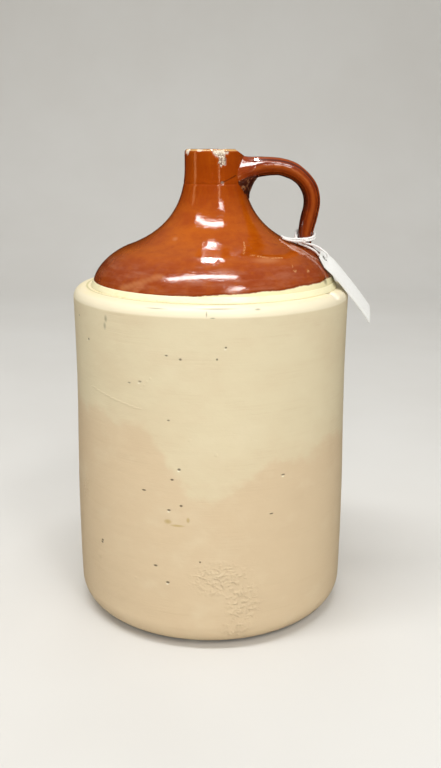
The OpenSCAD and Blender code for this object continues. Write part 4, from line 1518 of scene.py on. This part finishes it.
@dataclass
class Strap:
    """The handle: a strap of clay that is pulled, bent and luted on at its root and its foot.

    Its middle line runs from inside the neck over a crest and down to the shoulder.

    Attributes:
        sizes: The jug's sizes.
        half_t: Half its thickness.
        width: Its width.
        foot_r: Radius at which it meets the shoulder.
        bulge: How far it stands out past its foot.
        drop: How far its top lies below the lip.
        crest_share: Where its crest lies, as a share of the way from the neck out.
        outmost_share: Where it stands out most, as a share of the way from its foot up to the crest.
        root_share: How far its root lies below the crest, as a share of its thickness.
        pulls: How far each bend of its line keeps its direction, from the root to the foot.
        ribs: How many ribs it has on its outer face.
        rib_depth: Depth of the valleys between them.
        boxy: How square its section is. An ellipse has 2.
        side_groove_sines: Where grooves run along its sides, by the sine of their place round the section.
        side_groove_depth: Their depth.
        side_groove_half: Half their width, in the same measure.
        sag: How far its edges hang down at the neck.
        sag_reach: How far from the neck they start to.
        hollow_depth: How much thicker it is beneath, at the neck.
        thumbed: How deep a thumb pressed a facet into each upper edge at the neck.
        thumbed_way: Which way the facet faces, sideways and up.
        thumbed_reach: How far from the neck it starts.
        foot_spread: How far the clay at its foot spreads.
        foot_tail: How much further it spreads down the shoulder.
        foot_clay_h: Half the height of that clay.
        root_reach: How far the clay at its root reaches along it.
        root_drop: How far that clay runs down the neck.
        root_spread: How far it stands out.
        thick_shares: Its thickness along the line, as shares of the line and of the thickness.
        wide_shares: Its width in the same way.
        steps: How many parts each of the line's three bends has.
        sides: How many points its section has.
        unevenness: Size, depth and seed of the unevenness that the hand leaves.
    """

    sizes: Sizes
    half_t: float = 7.1
    width: float = 25.0
    foot_r: float = 78.6
    bulge: float = 6.3
    drop: float = 6.8
    crest_share: float = 0.42
    outmost_share: float = 0.62
    root_share: float = 0.15
    pulls: tuple[float, ...] = (0.4, 0.4, 0.52, 0.6, 0.2, 0.62)
    ribs: int = 3
    rib_depth: float = 1.1
    boxy: float = 2.2
    side_groove_sines: tuple[float, float] = (0.32, -0.38)
    side_groove_depth: float = 0.35
    side_groove_half: float = 0.09
    sag: float = 8.0
    sag_reach: float = 18.0
    hollow_depth: float = 3.0
    thumbed: float = 1.0
    thumbed_way: tuple[float, float] = (0.77, 0.64)
    thumbed_reach: float = 20.0
    foot_spread: float = 4.0
    foot_tail: float = 4.5
    foot_clay_h: float = 4.5
    root_reach: float = 11.0
    root_drop: float = 24.0
    root_spread: float = 3.4
    thick_shares: tuple = ((0, 1.3), (0.18, 1.2), (0.3, 1.06), (0.45, 1), (0.8, 1), (0.9, 0.88), (1, 0.86))
    wide_shares: tuple = (
        (0, 1.26), (0.15, 1.18), (0.3, 1.04), (0.5, 1), (0.8, 0.84), (0.9, 0.74), (1, 0.72),
    )
    steps: tuple[int, int, int] = (40, 56, 56)
    sides: int = 72
    unevenness: tuple[Layer, Layer] = ((16.0, 0.35, 1.0), (5.0, 0.12, 2.0))

    def __post_init__(self) -> None:
        """Draws the middle line and its directions."""
        sizes = self.sizes
        outmost_r = self.foot_r + self.bulge
        self.seat_z = sizes.shoulder_z(self.foot_r)
        crest_r = sizes.neck_r + self.crest_share * (outmost_r - sizes.neck_r)
        crest = np.array([crest_r, sizes.top_z - self.drop - self.half_t])
        foot = np.array([self.foot_r, self.seat_z - self.foot_spread - self.half_t])
        outmost = np.array([outmost_r, foot[1] + self.outmost_share * (crest[1] - foot[1])])
        root = np.array([sizes.mouth_r, crest[1] - self.root_share * 2 * self.half_t])
        run, bend, fall = crest - root, outmost - crest, outmost - foot
        flat, tall = np.array([1.0, 0.0]), np.array([0.0, 1.0])
        a, b, c, d, e, f = self.pulls
        line = [
            tuple(root),
            *cubic(root, root + a * run * flat, crest - b * run * flat, crest, self.steps[0]),
            *cubic(crest, crest + c * bend * flat, outmost - d * bend * tall, outmost, self.steps[1]),
            *cubic(outmost, outmost - e * fall * tall, foot + f * fall * tall, foot, self.steps[2]),
        ]
        self.line = np.array(line)
        ways = np.gradient(self.line, axis=0)
        self.ways = ways / np.linalg.norm(ways, axis=1)[:, None]
        self.angles = np.arange(self.sides) * math.tau / self.sides

    def crown(self, wide: np.ndarray) -> np.ndarray:
        """How near each place across the strap is to the top of a rib, from 0 in a valley to 1."""
        return (1 + np.cos(math.pi * self.ribs * wide + math.pi * self.ribs)) / 2

    def side_groove(self) -> np.ndarray:
        """Works out how deep in the grooves along its sides each place round the strap is.

        Returns:
            A share for each place, from 0 to 1.
        """
        away = [(np.sin(self.angles) - sine) / self.side_groove_half for sine in self.side_groove_sines]
        beside = np.abs(np.cos(self.angles)) > 0.3
        return sum(np.exp(-(a**2)) for a in away) * beside

    def thinness(self) -> np.ndarray:
        """How thin the glaze lies round the section, with the underside kept low as painted shade.

        Returns:
            A share for each of its points, from 0 in the valleys and on the underside, which is painted
            shade, to 1 on the ribs.
        """
        # Below the inner sine the underside gets a low share, which paints it dark as painted shade.
        ribbed, inner, plain, pooled = 0.5, -0.55, 0.5, 0.1
        edge_gain, edge_half = 0.35, 0.25
        sines = np.sin(self.angles)
        thin = np.where(sines > ribbed, self.crown(np.cos(self.angles)), plain)
        thin = thin + edge_gain * np.exp(-((sines / edge_half) ** 2)) - edge_gain * self.side_groove()
        return np.where(sines < inner, pooled, thin)

    def rooted(self, i: int, reach: float) -> float:
        """How near a point of the line is to the neck.

        Args:
            i: Which point.
            reach: The distance from the neck at which the share is 0.

        Returns:
            The share, which is 1 at the neck's surface.
        """
        if i >= len(self.line) // 2:
            return 0.0
        return 1 - float(np.clip((self.line[i][0] - self.sizes.neck_r) / reach, 0, 1))

    def thicker(self, i: int) -> float:
        """How much thicker the strap is beneath at a point of its line."""
        return self.hollow_depth * self.rooted(i, 20.0) ** 2

    def ring(
        self, i: int, over: float = 0.0, under: float = 0.0, beside: float = 0.0, narrowed: float = 0.0
    ) -> np.ndarray:
        """The strap's section at a point of its line.

        Args:
            i: Which point.
            over: How far the section is grown on its outer side.
            under: How far it is grown on its inner side.
            beside: How far it is grown to each side.
            narrowed: Share of its width that is gone at its lowest.

        Returns:
            The section's points.
        """
        share = i / (len(self.line) - 1)
        half = self.half_t * np.interp(share, *zip(*self.thick_shares))
        side = self.width / 2 * np.interp(share, *zip(*self.wide_shares))
        cosines, sines = np.cos(self.angles), np.sin(self.angles)
        y = (side + beside) * np.sign(cosines) * np.abs(cosines) ** (2 / self.boxy)
        up = sines > 0
        valley = np.where(up, self.rib_depth * sines * (1 - self.crown(y / side)), 0.0)
        y = y - np.sign(cosines) * self.side_groove_depth * self.side_groove()
        y = y * (1 - narrowed * np.clip(-sines, 0, 1) ** 1.5)
        grown = half + np.where(up, over, under)
        n = grown * np.sign(sines) * np.abs(sines) ** (2 / self.boxy) - valley
        out = np.array([-self.ways[i][1], self.ways[i][0]])
        r = self.line[i][0] + n * out[0]
        hang = self.sag * self.rooted(i, self.sag_reach) ** 2
        z = self.line[i][1] + n * out[1] - hang * np.abs(cosines) ** 3
        aside, upward = self.thumbed_way
        support = aside * np.abs(y) + upward * z
        facet = support.max() - self.thumbed * self.rooted(i, self.thumbed_reach)
        pressed = 0.9 * np.maximum(support - facet, 0)
        y = y - np.sign(y) * aside * pressed
        z = z - upward * pressed
        return np.stack([r + self.sizes.axis_x, y, z], axis=1)

    def build(self, material: bpy.types.Material) -> bpy.types.Object:
        """Makes the strap with its ribs, from inside the neck's wall to inside the shoulder's.

        Args:
            material: Its glaze.

        Returns:
            The dressed strap.
        """
        buried_r, buried_z = 18.5, self.seat_z - 6.0
        half_way = len(self.line) // 2
        rows = [
            i for i, (r, z) in enumerate(self.line)
            if (r > buried_r if i < half_way else z > buried_z)
        ]
        obj = loft("strap_handle", [self.ring(i, under=self.thicker(i)) for i in rows], material)
        note(obj, "rib", np.tile(self.thinness(), len(rows)))
        worked(obj, *self.unevenness)
        return dress(obj, "handle_glaze", "handle")

    def build_root(self, material: bpy.types.Material) -> tuple[bpy.types.Object, np.ndarray]:
        """Makes the clay at the root: smoothed on top and torn beneath, where it runs down the neck.

        Args:
            material: Its glaze.

        Returns:
            The clay, and how torn it is at each of its points.
        """
        neck_r = self.sizes.neck_r
        buried_r, end_r = 14.4, neck_r + self.root_reach + 2.0
        half_flare, flare_growth, lift = 15.2, 6.0, 0.5
        rows = [i for i, (r, _) in enumerate(self.line[: len(self.line) // 2]) if buried_r < r < end_r]
        beneath = np.clip(-np.sin(self.angles), 0, 1)
        rings, torn, necked, ribs = [], [], [], []
        for i in rows:
            r = self.line[i][0]
            left = 1 - float(np.clip((r - neck_r) / (end_r - neck_r), 0, 1))
            sunk = lift * (1 - float(smooth(left, 0.0, 0.4)))
            side = self.width / 2 * np.interp(i / (len(self.line) - 1), *zip(*self.wide_shares))
            flare = half_flare + flare_growth * ((end_r - r) / (end_r - buried_r)) ** 2 - side
            under = self.thicker(i) + self.root_drop * left**2.4 - sunk
            ring = self.ring(
                i,
                over=self.root_spread * 0.5 * left**2 - sunk,
                under=under,
                beside=max(flare, 0.1) * float(smooth(left, 0.0, 0.7)) - sunk,
                narrowed=0.6 * float(smooth(left, 0.1, 0.8)),
            )
            round_neck = neck_r - np.sqrt(np.maximum(neck_r**2 - ring[:, 1] ** 2, 0))
            ring[:, 0] -= float(smooth(left, 0.3, 1.0)) * round_neck
            rings.append(ring)
            depth = (self.half_t * 1.25 + under) * beneath ** (2 / self.boxy)
            torn.append(smooth(depth, 1.5, 6.0) * min(1.0, left * 1.8))
            necked.append(np.full(self.sides, float(smooth(left, 0.45, 1.0))))
            ribs.append(0.5 + (self.thinness() - 0.5) * (1 - float(smooth(left, 0.1, 0.6))))
        obj = loft("root_clay", rings, material)
        torn = np.concatenate(torn)
        note(obj, "torn", torn)
        note(obj, "necked", np.concatenate(necked))
        note(obj, "rib", np.concatenate(ribs))
        worked(obj, *self.unevenness, share=0.3)
        worked(obj, (7.0, 1.0, 3.0), (2.6, 0.7, 4.0), share=0.02 + 0.98 * torn)
        return dress(obj, "lute_clay", "handle_upper_lute"), torn

    def build_foot(self, material: bpy.types.Material) -> bpy.types.Object:
        """Makes the clay pressed round the foot, with the tail that a thumb drew down the shoulder.

        Args:
            material: Its glaze.

        Returns:
            The dressed clay.
        """
        top_z, end_z, skin = self.seat_z + 1.2, self.seat_z - 8.5, 0.5
        rows = [i for i in range(len(self.line) // 2, len(self.line)) if end_z < self.line[i][1] < top_z]
        rings = []
        for i in rows:
            depth = self.seat_z + self.foot_clay_h - self.line[i][1]
            down = min(1.0, depth / (2 * self.foot_clay_h))
            rings.append(
                self.ring(
                    i,
                    over=skin + (self.foot_spread + self.foot_tail) * down**2,
                    under=skin + self.foot_spread / 2 * down,
                    beside=skin + self.foot_spread * down,
                )
            )
        obj = loft("foot_clay", rings, material)
        note(obj, "rib", np.full(len(obj.data.vertices), 0.4))
        worked(obj, (5.0, 0.35, 6.0), (2.0, 0.15, 7.0))
        note(obj, "torn", np.full(len(obj.data.vertices), 0.15))
        return dress(obj, "lute_clay", "handle_lower_lute")


@dataclass(frozen=True)
class Crumbs:
    """Crumbs of clay that stuck to the torn part of the handle's root.

    Attributes:
        spacing: The least distance between two crumbs.
        radius: A crumb's radius before it is squeezed.
        bared: How torn the clay is where they lie, from 0 to 1.
    """

    spacing: float = 2.6
    radius: float = 0.7
    bared: float = 0.6

    def build(
        self, on: bpy.types.Object, torn: np.ndarray, tree: bpy.types.NodeTree, material: bpy.types.Material
    ) -> bpy.types.Object:
        """Strews the crumbs and dresses them.

        Args:
            on: The clay that they lie on.
            torn: How torn it is at each of its points.
            tree: The tree that scatters them.
            material: Their glaze.

        Returns:
            All crumbs as one piece.
        """
        where = torn > self.bared
        quads = [face.vertices[:] for face in on.data.polygons if len(face.vertices) == 4]
        faces = [quad for quad in quads if all(where[v] for v in quad)]
        obj = make_object("root_crumbs", read_points(on.data), faces)
        values = {"Spacing": self.spacing * MM, "Crumb": self.radius * MM, "Seed": 3, "Material": material}
        apply_tree(obj, tree, values)
        note(obj, "torn", np.full(len(obj.data.vertices), self.bared))
        note(obj, "rib", np.full(len(obj.data.vertices), 0.5))
        return dress(obj, "lute_clay")


def loft(name: str, rings: Sequence[np.ndarray], material: bpy.types.Material) -> bpy.types.Object:
    """Joins rings of points into one closed piece.

    Args:
        name: The piece's name.
        rings: Its sections, in order.
        material: Its finish.

    Returns:
        The piece.
    """
    n = len(rings[0])
    faces = [
        (i * n + j, i * n + (j + 1) % n, (i + 1) * n + (j + 1) % n, (i + 1) * n + j)
        for i in range(len(rings) - 1) for j in range(n)
    ]
    last = (len(rings) - 1) * n
    faces += [tuple(range(n)), tuple(last + j for j in reversed(range(n)))]
    obj = make_object(name, np.concatenate(rings), faces)
    obj.data.materials.append(material)
    return faced_out(obj)


def note(obj: bpy.types.Object, name: str, values: np.ndarray) -> None:
    """Writes a number for each point of a piece, for its finish to read."""
    obj.data.attributes.new(name, "FLOAT", "POINT").data.foreach_set("value", np.asarray(values, float))


def worked(obj: bpy.types.Object, *layers: Layer, share: Any = 1.0) -> None:
    """Presses noise into a piece.

    Args:
        obj: The piece.
        layers: The size of each layer's patches, its depth and its seed.
        share: How much of the depth each point gets.
    """
    points, normals = read_points(obj.data), read_normals(obj.data)
    depth = sum(rough(points, size, seed) * amount for size, amount, seed in layers) * share
    write_points(obj.data, points + depth[:, None] * normals)


# The string's middle line: a tail on the shoulder, once round the handle's foot, out to the card, through
# its hole and back, once more round the foot, and the second tail
STRING_ROUTE = (
    (60.5, -13.4, 335.3), (64.5, -13.8, 333.8), (68.5, -14, 333), (72.5, -14, 332.9), (76.5, -13.7, 332.9),
    (80.5, -13, 333), (84.3, -11.6, 333.2), (87.6, -9, 333.8), (89.8, -5.4, 334.6), (90.8, -1.4, 335.6),
    (91, 2.8, 336.8), (89.8, 7.2, 337.9), (86.7, 10.8, 338.7), (82.1, 11.9, 339), (78, 10.4, 338.7),
    (75.6, 6.9, 337.7), (74.6, 2.8, 336.4), (74.4, -1.4, 334.6), (74.7, -5.4, 332.6), (76.3, -8.9, 330.8),
    (79.2, -11.1, 329.7), (82.4, -12.8, 329), (86, -14.1, 328.4), (89.5, -15.3, 327.5),
    (92.6, -16.3, 326.2), (95.4, -16.8, 324.3), (97.9, -16.9, 322.4), (99.9, -16.9, 320.8),
    (100.6, -16.6, 319.2), (100.4, -16.3, 317.6), (99.3, -15.9, 316.3), (97.7, -15.6, 315.8),
    (96.2, -15.4, 316.3), (94.5, -15.5, 317.7), (92.5, -15.6, 320), (90.6, -15.4, 322.3),
    (88, -14.8, 324), (85, -13.9, 325.6), (82, -12.8, 326.8), (79.1, -11.3, 327.7), (76.5, -9, 328.7),
    (74.7, -5.5, 330.2), (74.1, -1.4, 332.1), (74.3, 2.8, 334), (75.8, 7, 335.5), (78.3, 10.3, 336.6),
    (82.1, 11.7, 336.9), (86.6, 10.8, 336.6), (89.6, 7.1, 335.7), (90.8, 2.8, 334.6), (90.9, -1.4, 333.5),
    (89.9, -5.6, 332.5), (87.6, -9.4, 331.8), (84.3, -12.2, 331.4), (80.5, -14, 331.2), (76.5, -15, 331),
    (72.5, -15.8, 331.1), (68.5, -16.2, 331.7), (64.5, -16.4, 332.8), (61.4, -16.5, 334.1),
)


def smoothed(route: Sequence[Sequence[float]], parts: int) -> np.ndarray:
    """Draws a smooth line through all points of a route.

    Args:
        route: The points.
        parts: How many parts lie between each two.

    Returns:
        The line's points.
    """
    ends = np.array([route[0], *route, route[-1]], float)
    out = []
    for p, a, b, q in zip(ends, ends[1:], ends[2:], ends[3:]):
        for t in np.arange(parts) / parts:
            out.append(a + 0.5 * t * (b - p + t * (2 * p - 5 * a + 4 * b - q + t * (3 * (a - b) + q - p))))
    return np.array([*out, ends[-1]])


@dataclass(frozen=True)
class CottonString:
    """The two-ply cotton string of the tag, with the knot that holds both its turns.

    Attributes:
        diameter: Its thickness when it is pulled taut.
        plump: How much thicker the loose ply is than that.
        length: Its real length. It is not used.
        lay: How far it runs in one twist.
        ply_depth: How deep the valleys between the plies are, as a share of its radius.
        knot_at: The knot's middle.
        knot_r: The knot's size.
    """

    diameter: float = 1.3
    plump: float = 1.35
    length: float = 226.0
    lay: float = 2.6
    ply_depth: float = 0.16
    knot_at: Place = (80.6, -14.2, 331.6)
    knot_r: float = 0.62

    def spin(self, name: str, line: np.ndarray, tree: bpy.types.NodeTree, material: Any) -> bpy.types.Object:
        """Lays plied string along a line.

        Args:
            name: The piece's name.
            line: Its middle line.
            tree: The tree that twists it.
            material: Its finish.

        Returns:
            The string as a plain mesh.
        """
        obj = make_object(name, line, [], [(i, i + 1) for i in range(len(line) - 1)])
        values = {
            "Radius": self.plump * self.diameter / 2 * MM, "Ply Depth": self.ply_depth, "Lay": self.lay * MM,
            "Step": 0.25 * MM, "Material": material,
        }
        return apply_tree(obj, tree, values)

    def knot_line(self) -> np.ndarray:
        """Draws an overhand knot pulled tight, a trefoil about the place where the turns meet.

        Returns:
            One row for each point of the line.
        """
        opening, steps, squeezed = 0.1, 90, (1.2, 1.0, 0.9)
        t = np.linspace(opening, math.tau - opening, steps)
        across, up = np.sin(t) + 2 * np.sin(2 * t), np.cos(t) - 2 * np.cos(2 * t)
        return np.stack([across, -np.sin(3 * t), up], axis=1) * self.knot_r * squeezed + self.knot_at

    def build(self, tree: bpy.types.NodeTree, material: bpy.types.Material) -> list[bpy.types.Object]:
        """Makes the string, which bends where the card lifts, and its knot.

        Args:
            tree: The tree that twists the plies.
            material: The cotton.

        Returns:
            The string and the knot.
        """
        line = smoothed(STRING_ROUTE, 4)
        string = self.spin("plied_string", line, tree, material)
        knot = self.spin("string_knot", self.knot_line(), tree, material)
        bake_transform(string)
        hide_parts("tag_string")
        dress(knot, "cotton_string")
        return [string, knot]


@dataclass(frozen=True)
class Card:
    """The card tag: two clipped corners, a string hole and a slight bow from hanging in the damp.

    Attributes:
        length: Its length from the end with the hole.
        width: Its width.
        thickness: Its thickness.
        clip: How much of each corner is clipped off, along it and across.
        hole_r: The hole's radius.
        hole_in: How far the hole's middle lies from the clipped end.
        gap: What is left between the card and the rim that it rests on.
        bow: How far its middle stands up.
        cup: How far its long edges hang down.
        hole_at: Where the hole stands, seen from above.
        turns_deg: How it is turned about its length, then down, then round.
        cell: About how far apart its points lie.
    """

    length: float = 71.0
    width: float = 41.0
    thickness: float = 0.6
    clip: tuple[float, float] = (8.0, 9.0)
    hole_r: float = 2.4
    hole_in: float = 6.5
    gap: float = 0.35
    bow: float = 1.7
    cup: float = 0.5
    hole_at: tuple[float, float] = (98.0, -15.6)
    turns_deg: tuple[float, float, float] = (17.0, 49.0, 4.0)
    cell: float = 1.5

    def matrix(self, sizes: Sizes) -> Matrix:
        """Works out the card's place: the flat card just clears the rim's rounding.

        Args:
            sizes: The jug's sizes.

        Returns:
            The place and turn of the card's own plane, in millimetres.
        """
        roll, pitch, yaw = (math.radians(a) for a in self.turns_deg)
        turned = Matrix.Rotation(yaw, 4, "Z") @ Matrix.Rotation(pitch, 4, "Y") @ Matrix.Rotation(roll, 4, "X")
        face = turned.to_3x3() @ Vector((0, 0, 1))
        rim_r, rim_z = sizes.rim_middle
        reach = rim_r * math.hypot(face.x, face.y) + rim_z * face.z + sizes.rim_round
        reach += self.thickness / 2 + self.gap - face.x * self.hole_at[0] - face.y * self.hole_at[1]
        return Matrix.Translation((*self.hole_at, reach / face.z)) @ turned

    def outline(self) -> tuple[Line, Line]:
        """Draws the card's edge and its hole's.

        Returns:
            Their points in the card's own plane, about a cell apart.
        """
        top, bottom, half = -self.hole_in, self.length - self.hole_in, self.width / 2
        corners = [
            (top, self.clip[1] - half), (top + self.clip[0], -half), (bottom, -half), (bottom, half),
            (top + self.clip[0], half), (top, half - self.clip[1]),
        ]
        edge = resampled([*corners, corners[0]], self.cell)[:-1]
        return edge, arc((0, 0), self.hole_r, 360, 0, 28)[:-1]

    def lift(self, x: float, y: float) -> float:
        """Works out how the card is bent: bowed along, cupped across, and flat round its hole.

        Args:
            x: A place's distance from the hole along the card.
            y: Its distance from the card's middle line.

        Returns:
            How high the place stands over the card's plane.
        """
        bow_starts, cup_starts = (0, 12), (6, 30)
        middle, half = self.length / 2 - self.hole_in, self.length / 2
        bowed = self.bow * (1 - ((x - middle) / half) ** 2) * smooth(x, *bow_starts)
        return bowed - self.cup * (y / self.width * 2) ** 2 * smooth(x, *cup_starts) + self.cup

    def build(self, sizes: Sizes, material: bpy.types.Material) -> bpy.types.Object:
        """Makes the card with its two faces and its edges.

        Args:
            sizes: The jug's sizes.
            material: The card's stock.

        Returns:
            The dressed card.
        """
        clear, inside_hole, sharp_deg = 0.6, 0.98, 40
        edge, hole = self.outline()
        inner = [
            (x, y)
            for x in np.arange(-self.hole_in, self.length - self.hole_in, self.cell)
            for y in np.arange(-self.width / 2, self.width / 2, self.cell)
            if math.hypot(x, y) > self.hole_r + self.cell * clear and self.inside(x, y)
        ]
        places = [Vector(p) for p in [*edge, *hole, *inner]]
        n, h = len(edge), len(hole)
        edges = [(i, (i + 1) % n) for i in range(n)] + [(n + i, n + (i + 1) % h) for i in range(h)]
        flat, _, faces, *_ = geometry.delaunay_2d_cdt(places, edges, [], 1, 1e-5)
        far = [sum((flat[v].length for v in f), 0.0) / len(f) for f in faces]
        faces = [f for f, away in zip(faces, far) if away > self.hole_r * inside_hole]
        count = len(flat)
        ups = (self.thickness / 2, -self.thickness / 2)
        points = [(p.x, p.y, self.lift(p.x, p.y) + up) for up in ups for p in flat]
        solid = [tuple(f) for f in faces] + [tuple(v + count for v in reversed(f)) for f in faces]
        solid += [(b, a, a + count, b + count) for a, b in edges]
        obj = make_object("strung_card", np.array(points), solid)
        near_edge = np.zeros(count)
        near_edge[: n + h] = 1.0
        note(obj, "edge", np.tile(near_edge, 2))
        place = self.matrix(sizes)
        place.translation *= MM
        obj.data.transform(place)
        obj.data.materials.append(material)
        obj.data.set_sharp_from_angle(angle=math.radians(sharp_deg))
        return dress(faced_out(obj), "tag_stock", "tag_card", body=TAG)

    def inside(self, x: float, y: float) -> bool:
        """Whether a place lies well inside the card's edge.

        Args:
            x: Its distance from the hole along the card.
            y: Its distance from the card's middle line.

        Returns:
            Whether a point may stand there.
        """
        margin, off_clip = self.cell * 0.5, 1.12
        slant = (x + self.hole_in) / self.clip[0] + (self.width / 2 - abs(y)) / self.clip[1] > off_clip
        return (
            slant and x > margin - self.hole_in and x < self.length - self.hole_in - margin
            and abs(y) < self.width / 2 - margin
        )


def main() -> None:
    """Builds the studio, then the string and the card, then the ware, and reports each piece."""
    logging.basicConfig(level=logging.INFO, format="%(message)s")
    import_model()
    Studio().build()
    sizes = Sizes.from_frame()
    pieces = CottonString().build(twist_tree(), Cotton().done())
    pieces.append(Card().build(sizes, BareCard().done()))
    wheel = spin_tree()
    for half, glaze in ((LowerBody, CreamGlaze), (Dome, BrownGlaze), (SlipRing, PooledGlaze)):
        pieces.append(half(sizes).build(wheel, glaze().done()))
    strap, clay = Strap(sizes), LuteGlaze().done()
    pieces.append(strap.build(HandleGlaze().done()))
    root, torn = strap.build_root(clay)
    pieces += [root, Crumbs().build(root, torn, crumb_tree(), clay), strap.build_foot(clay)]
    for piece in pieces:
        LOG.info("%s: %d faces", piece.name, len(piece.data.polygons))


if __name__ == "__main__":
    main()
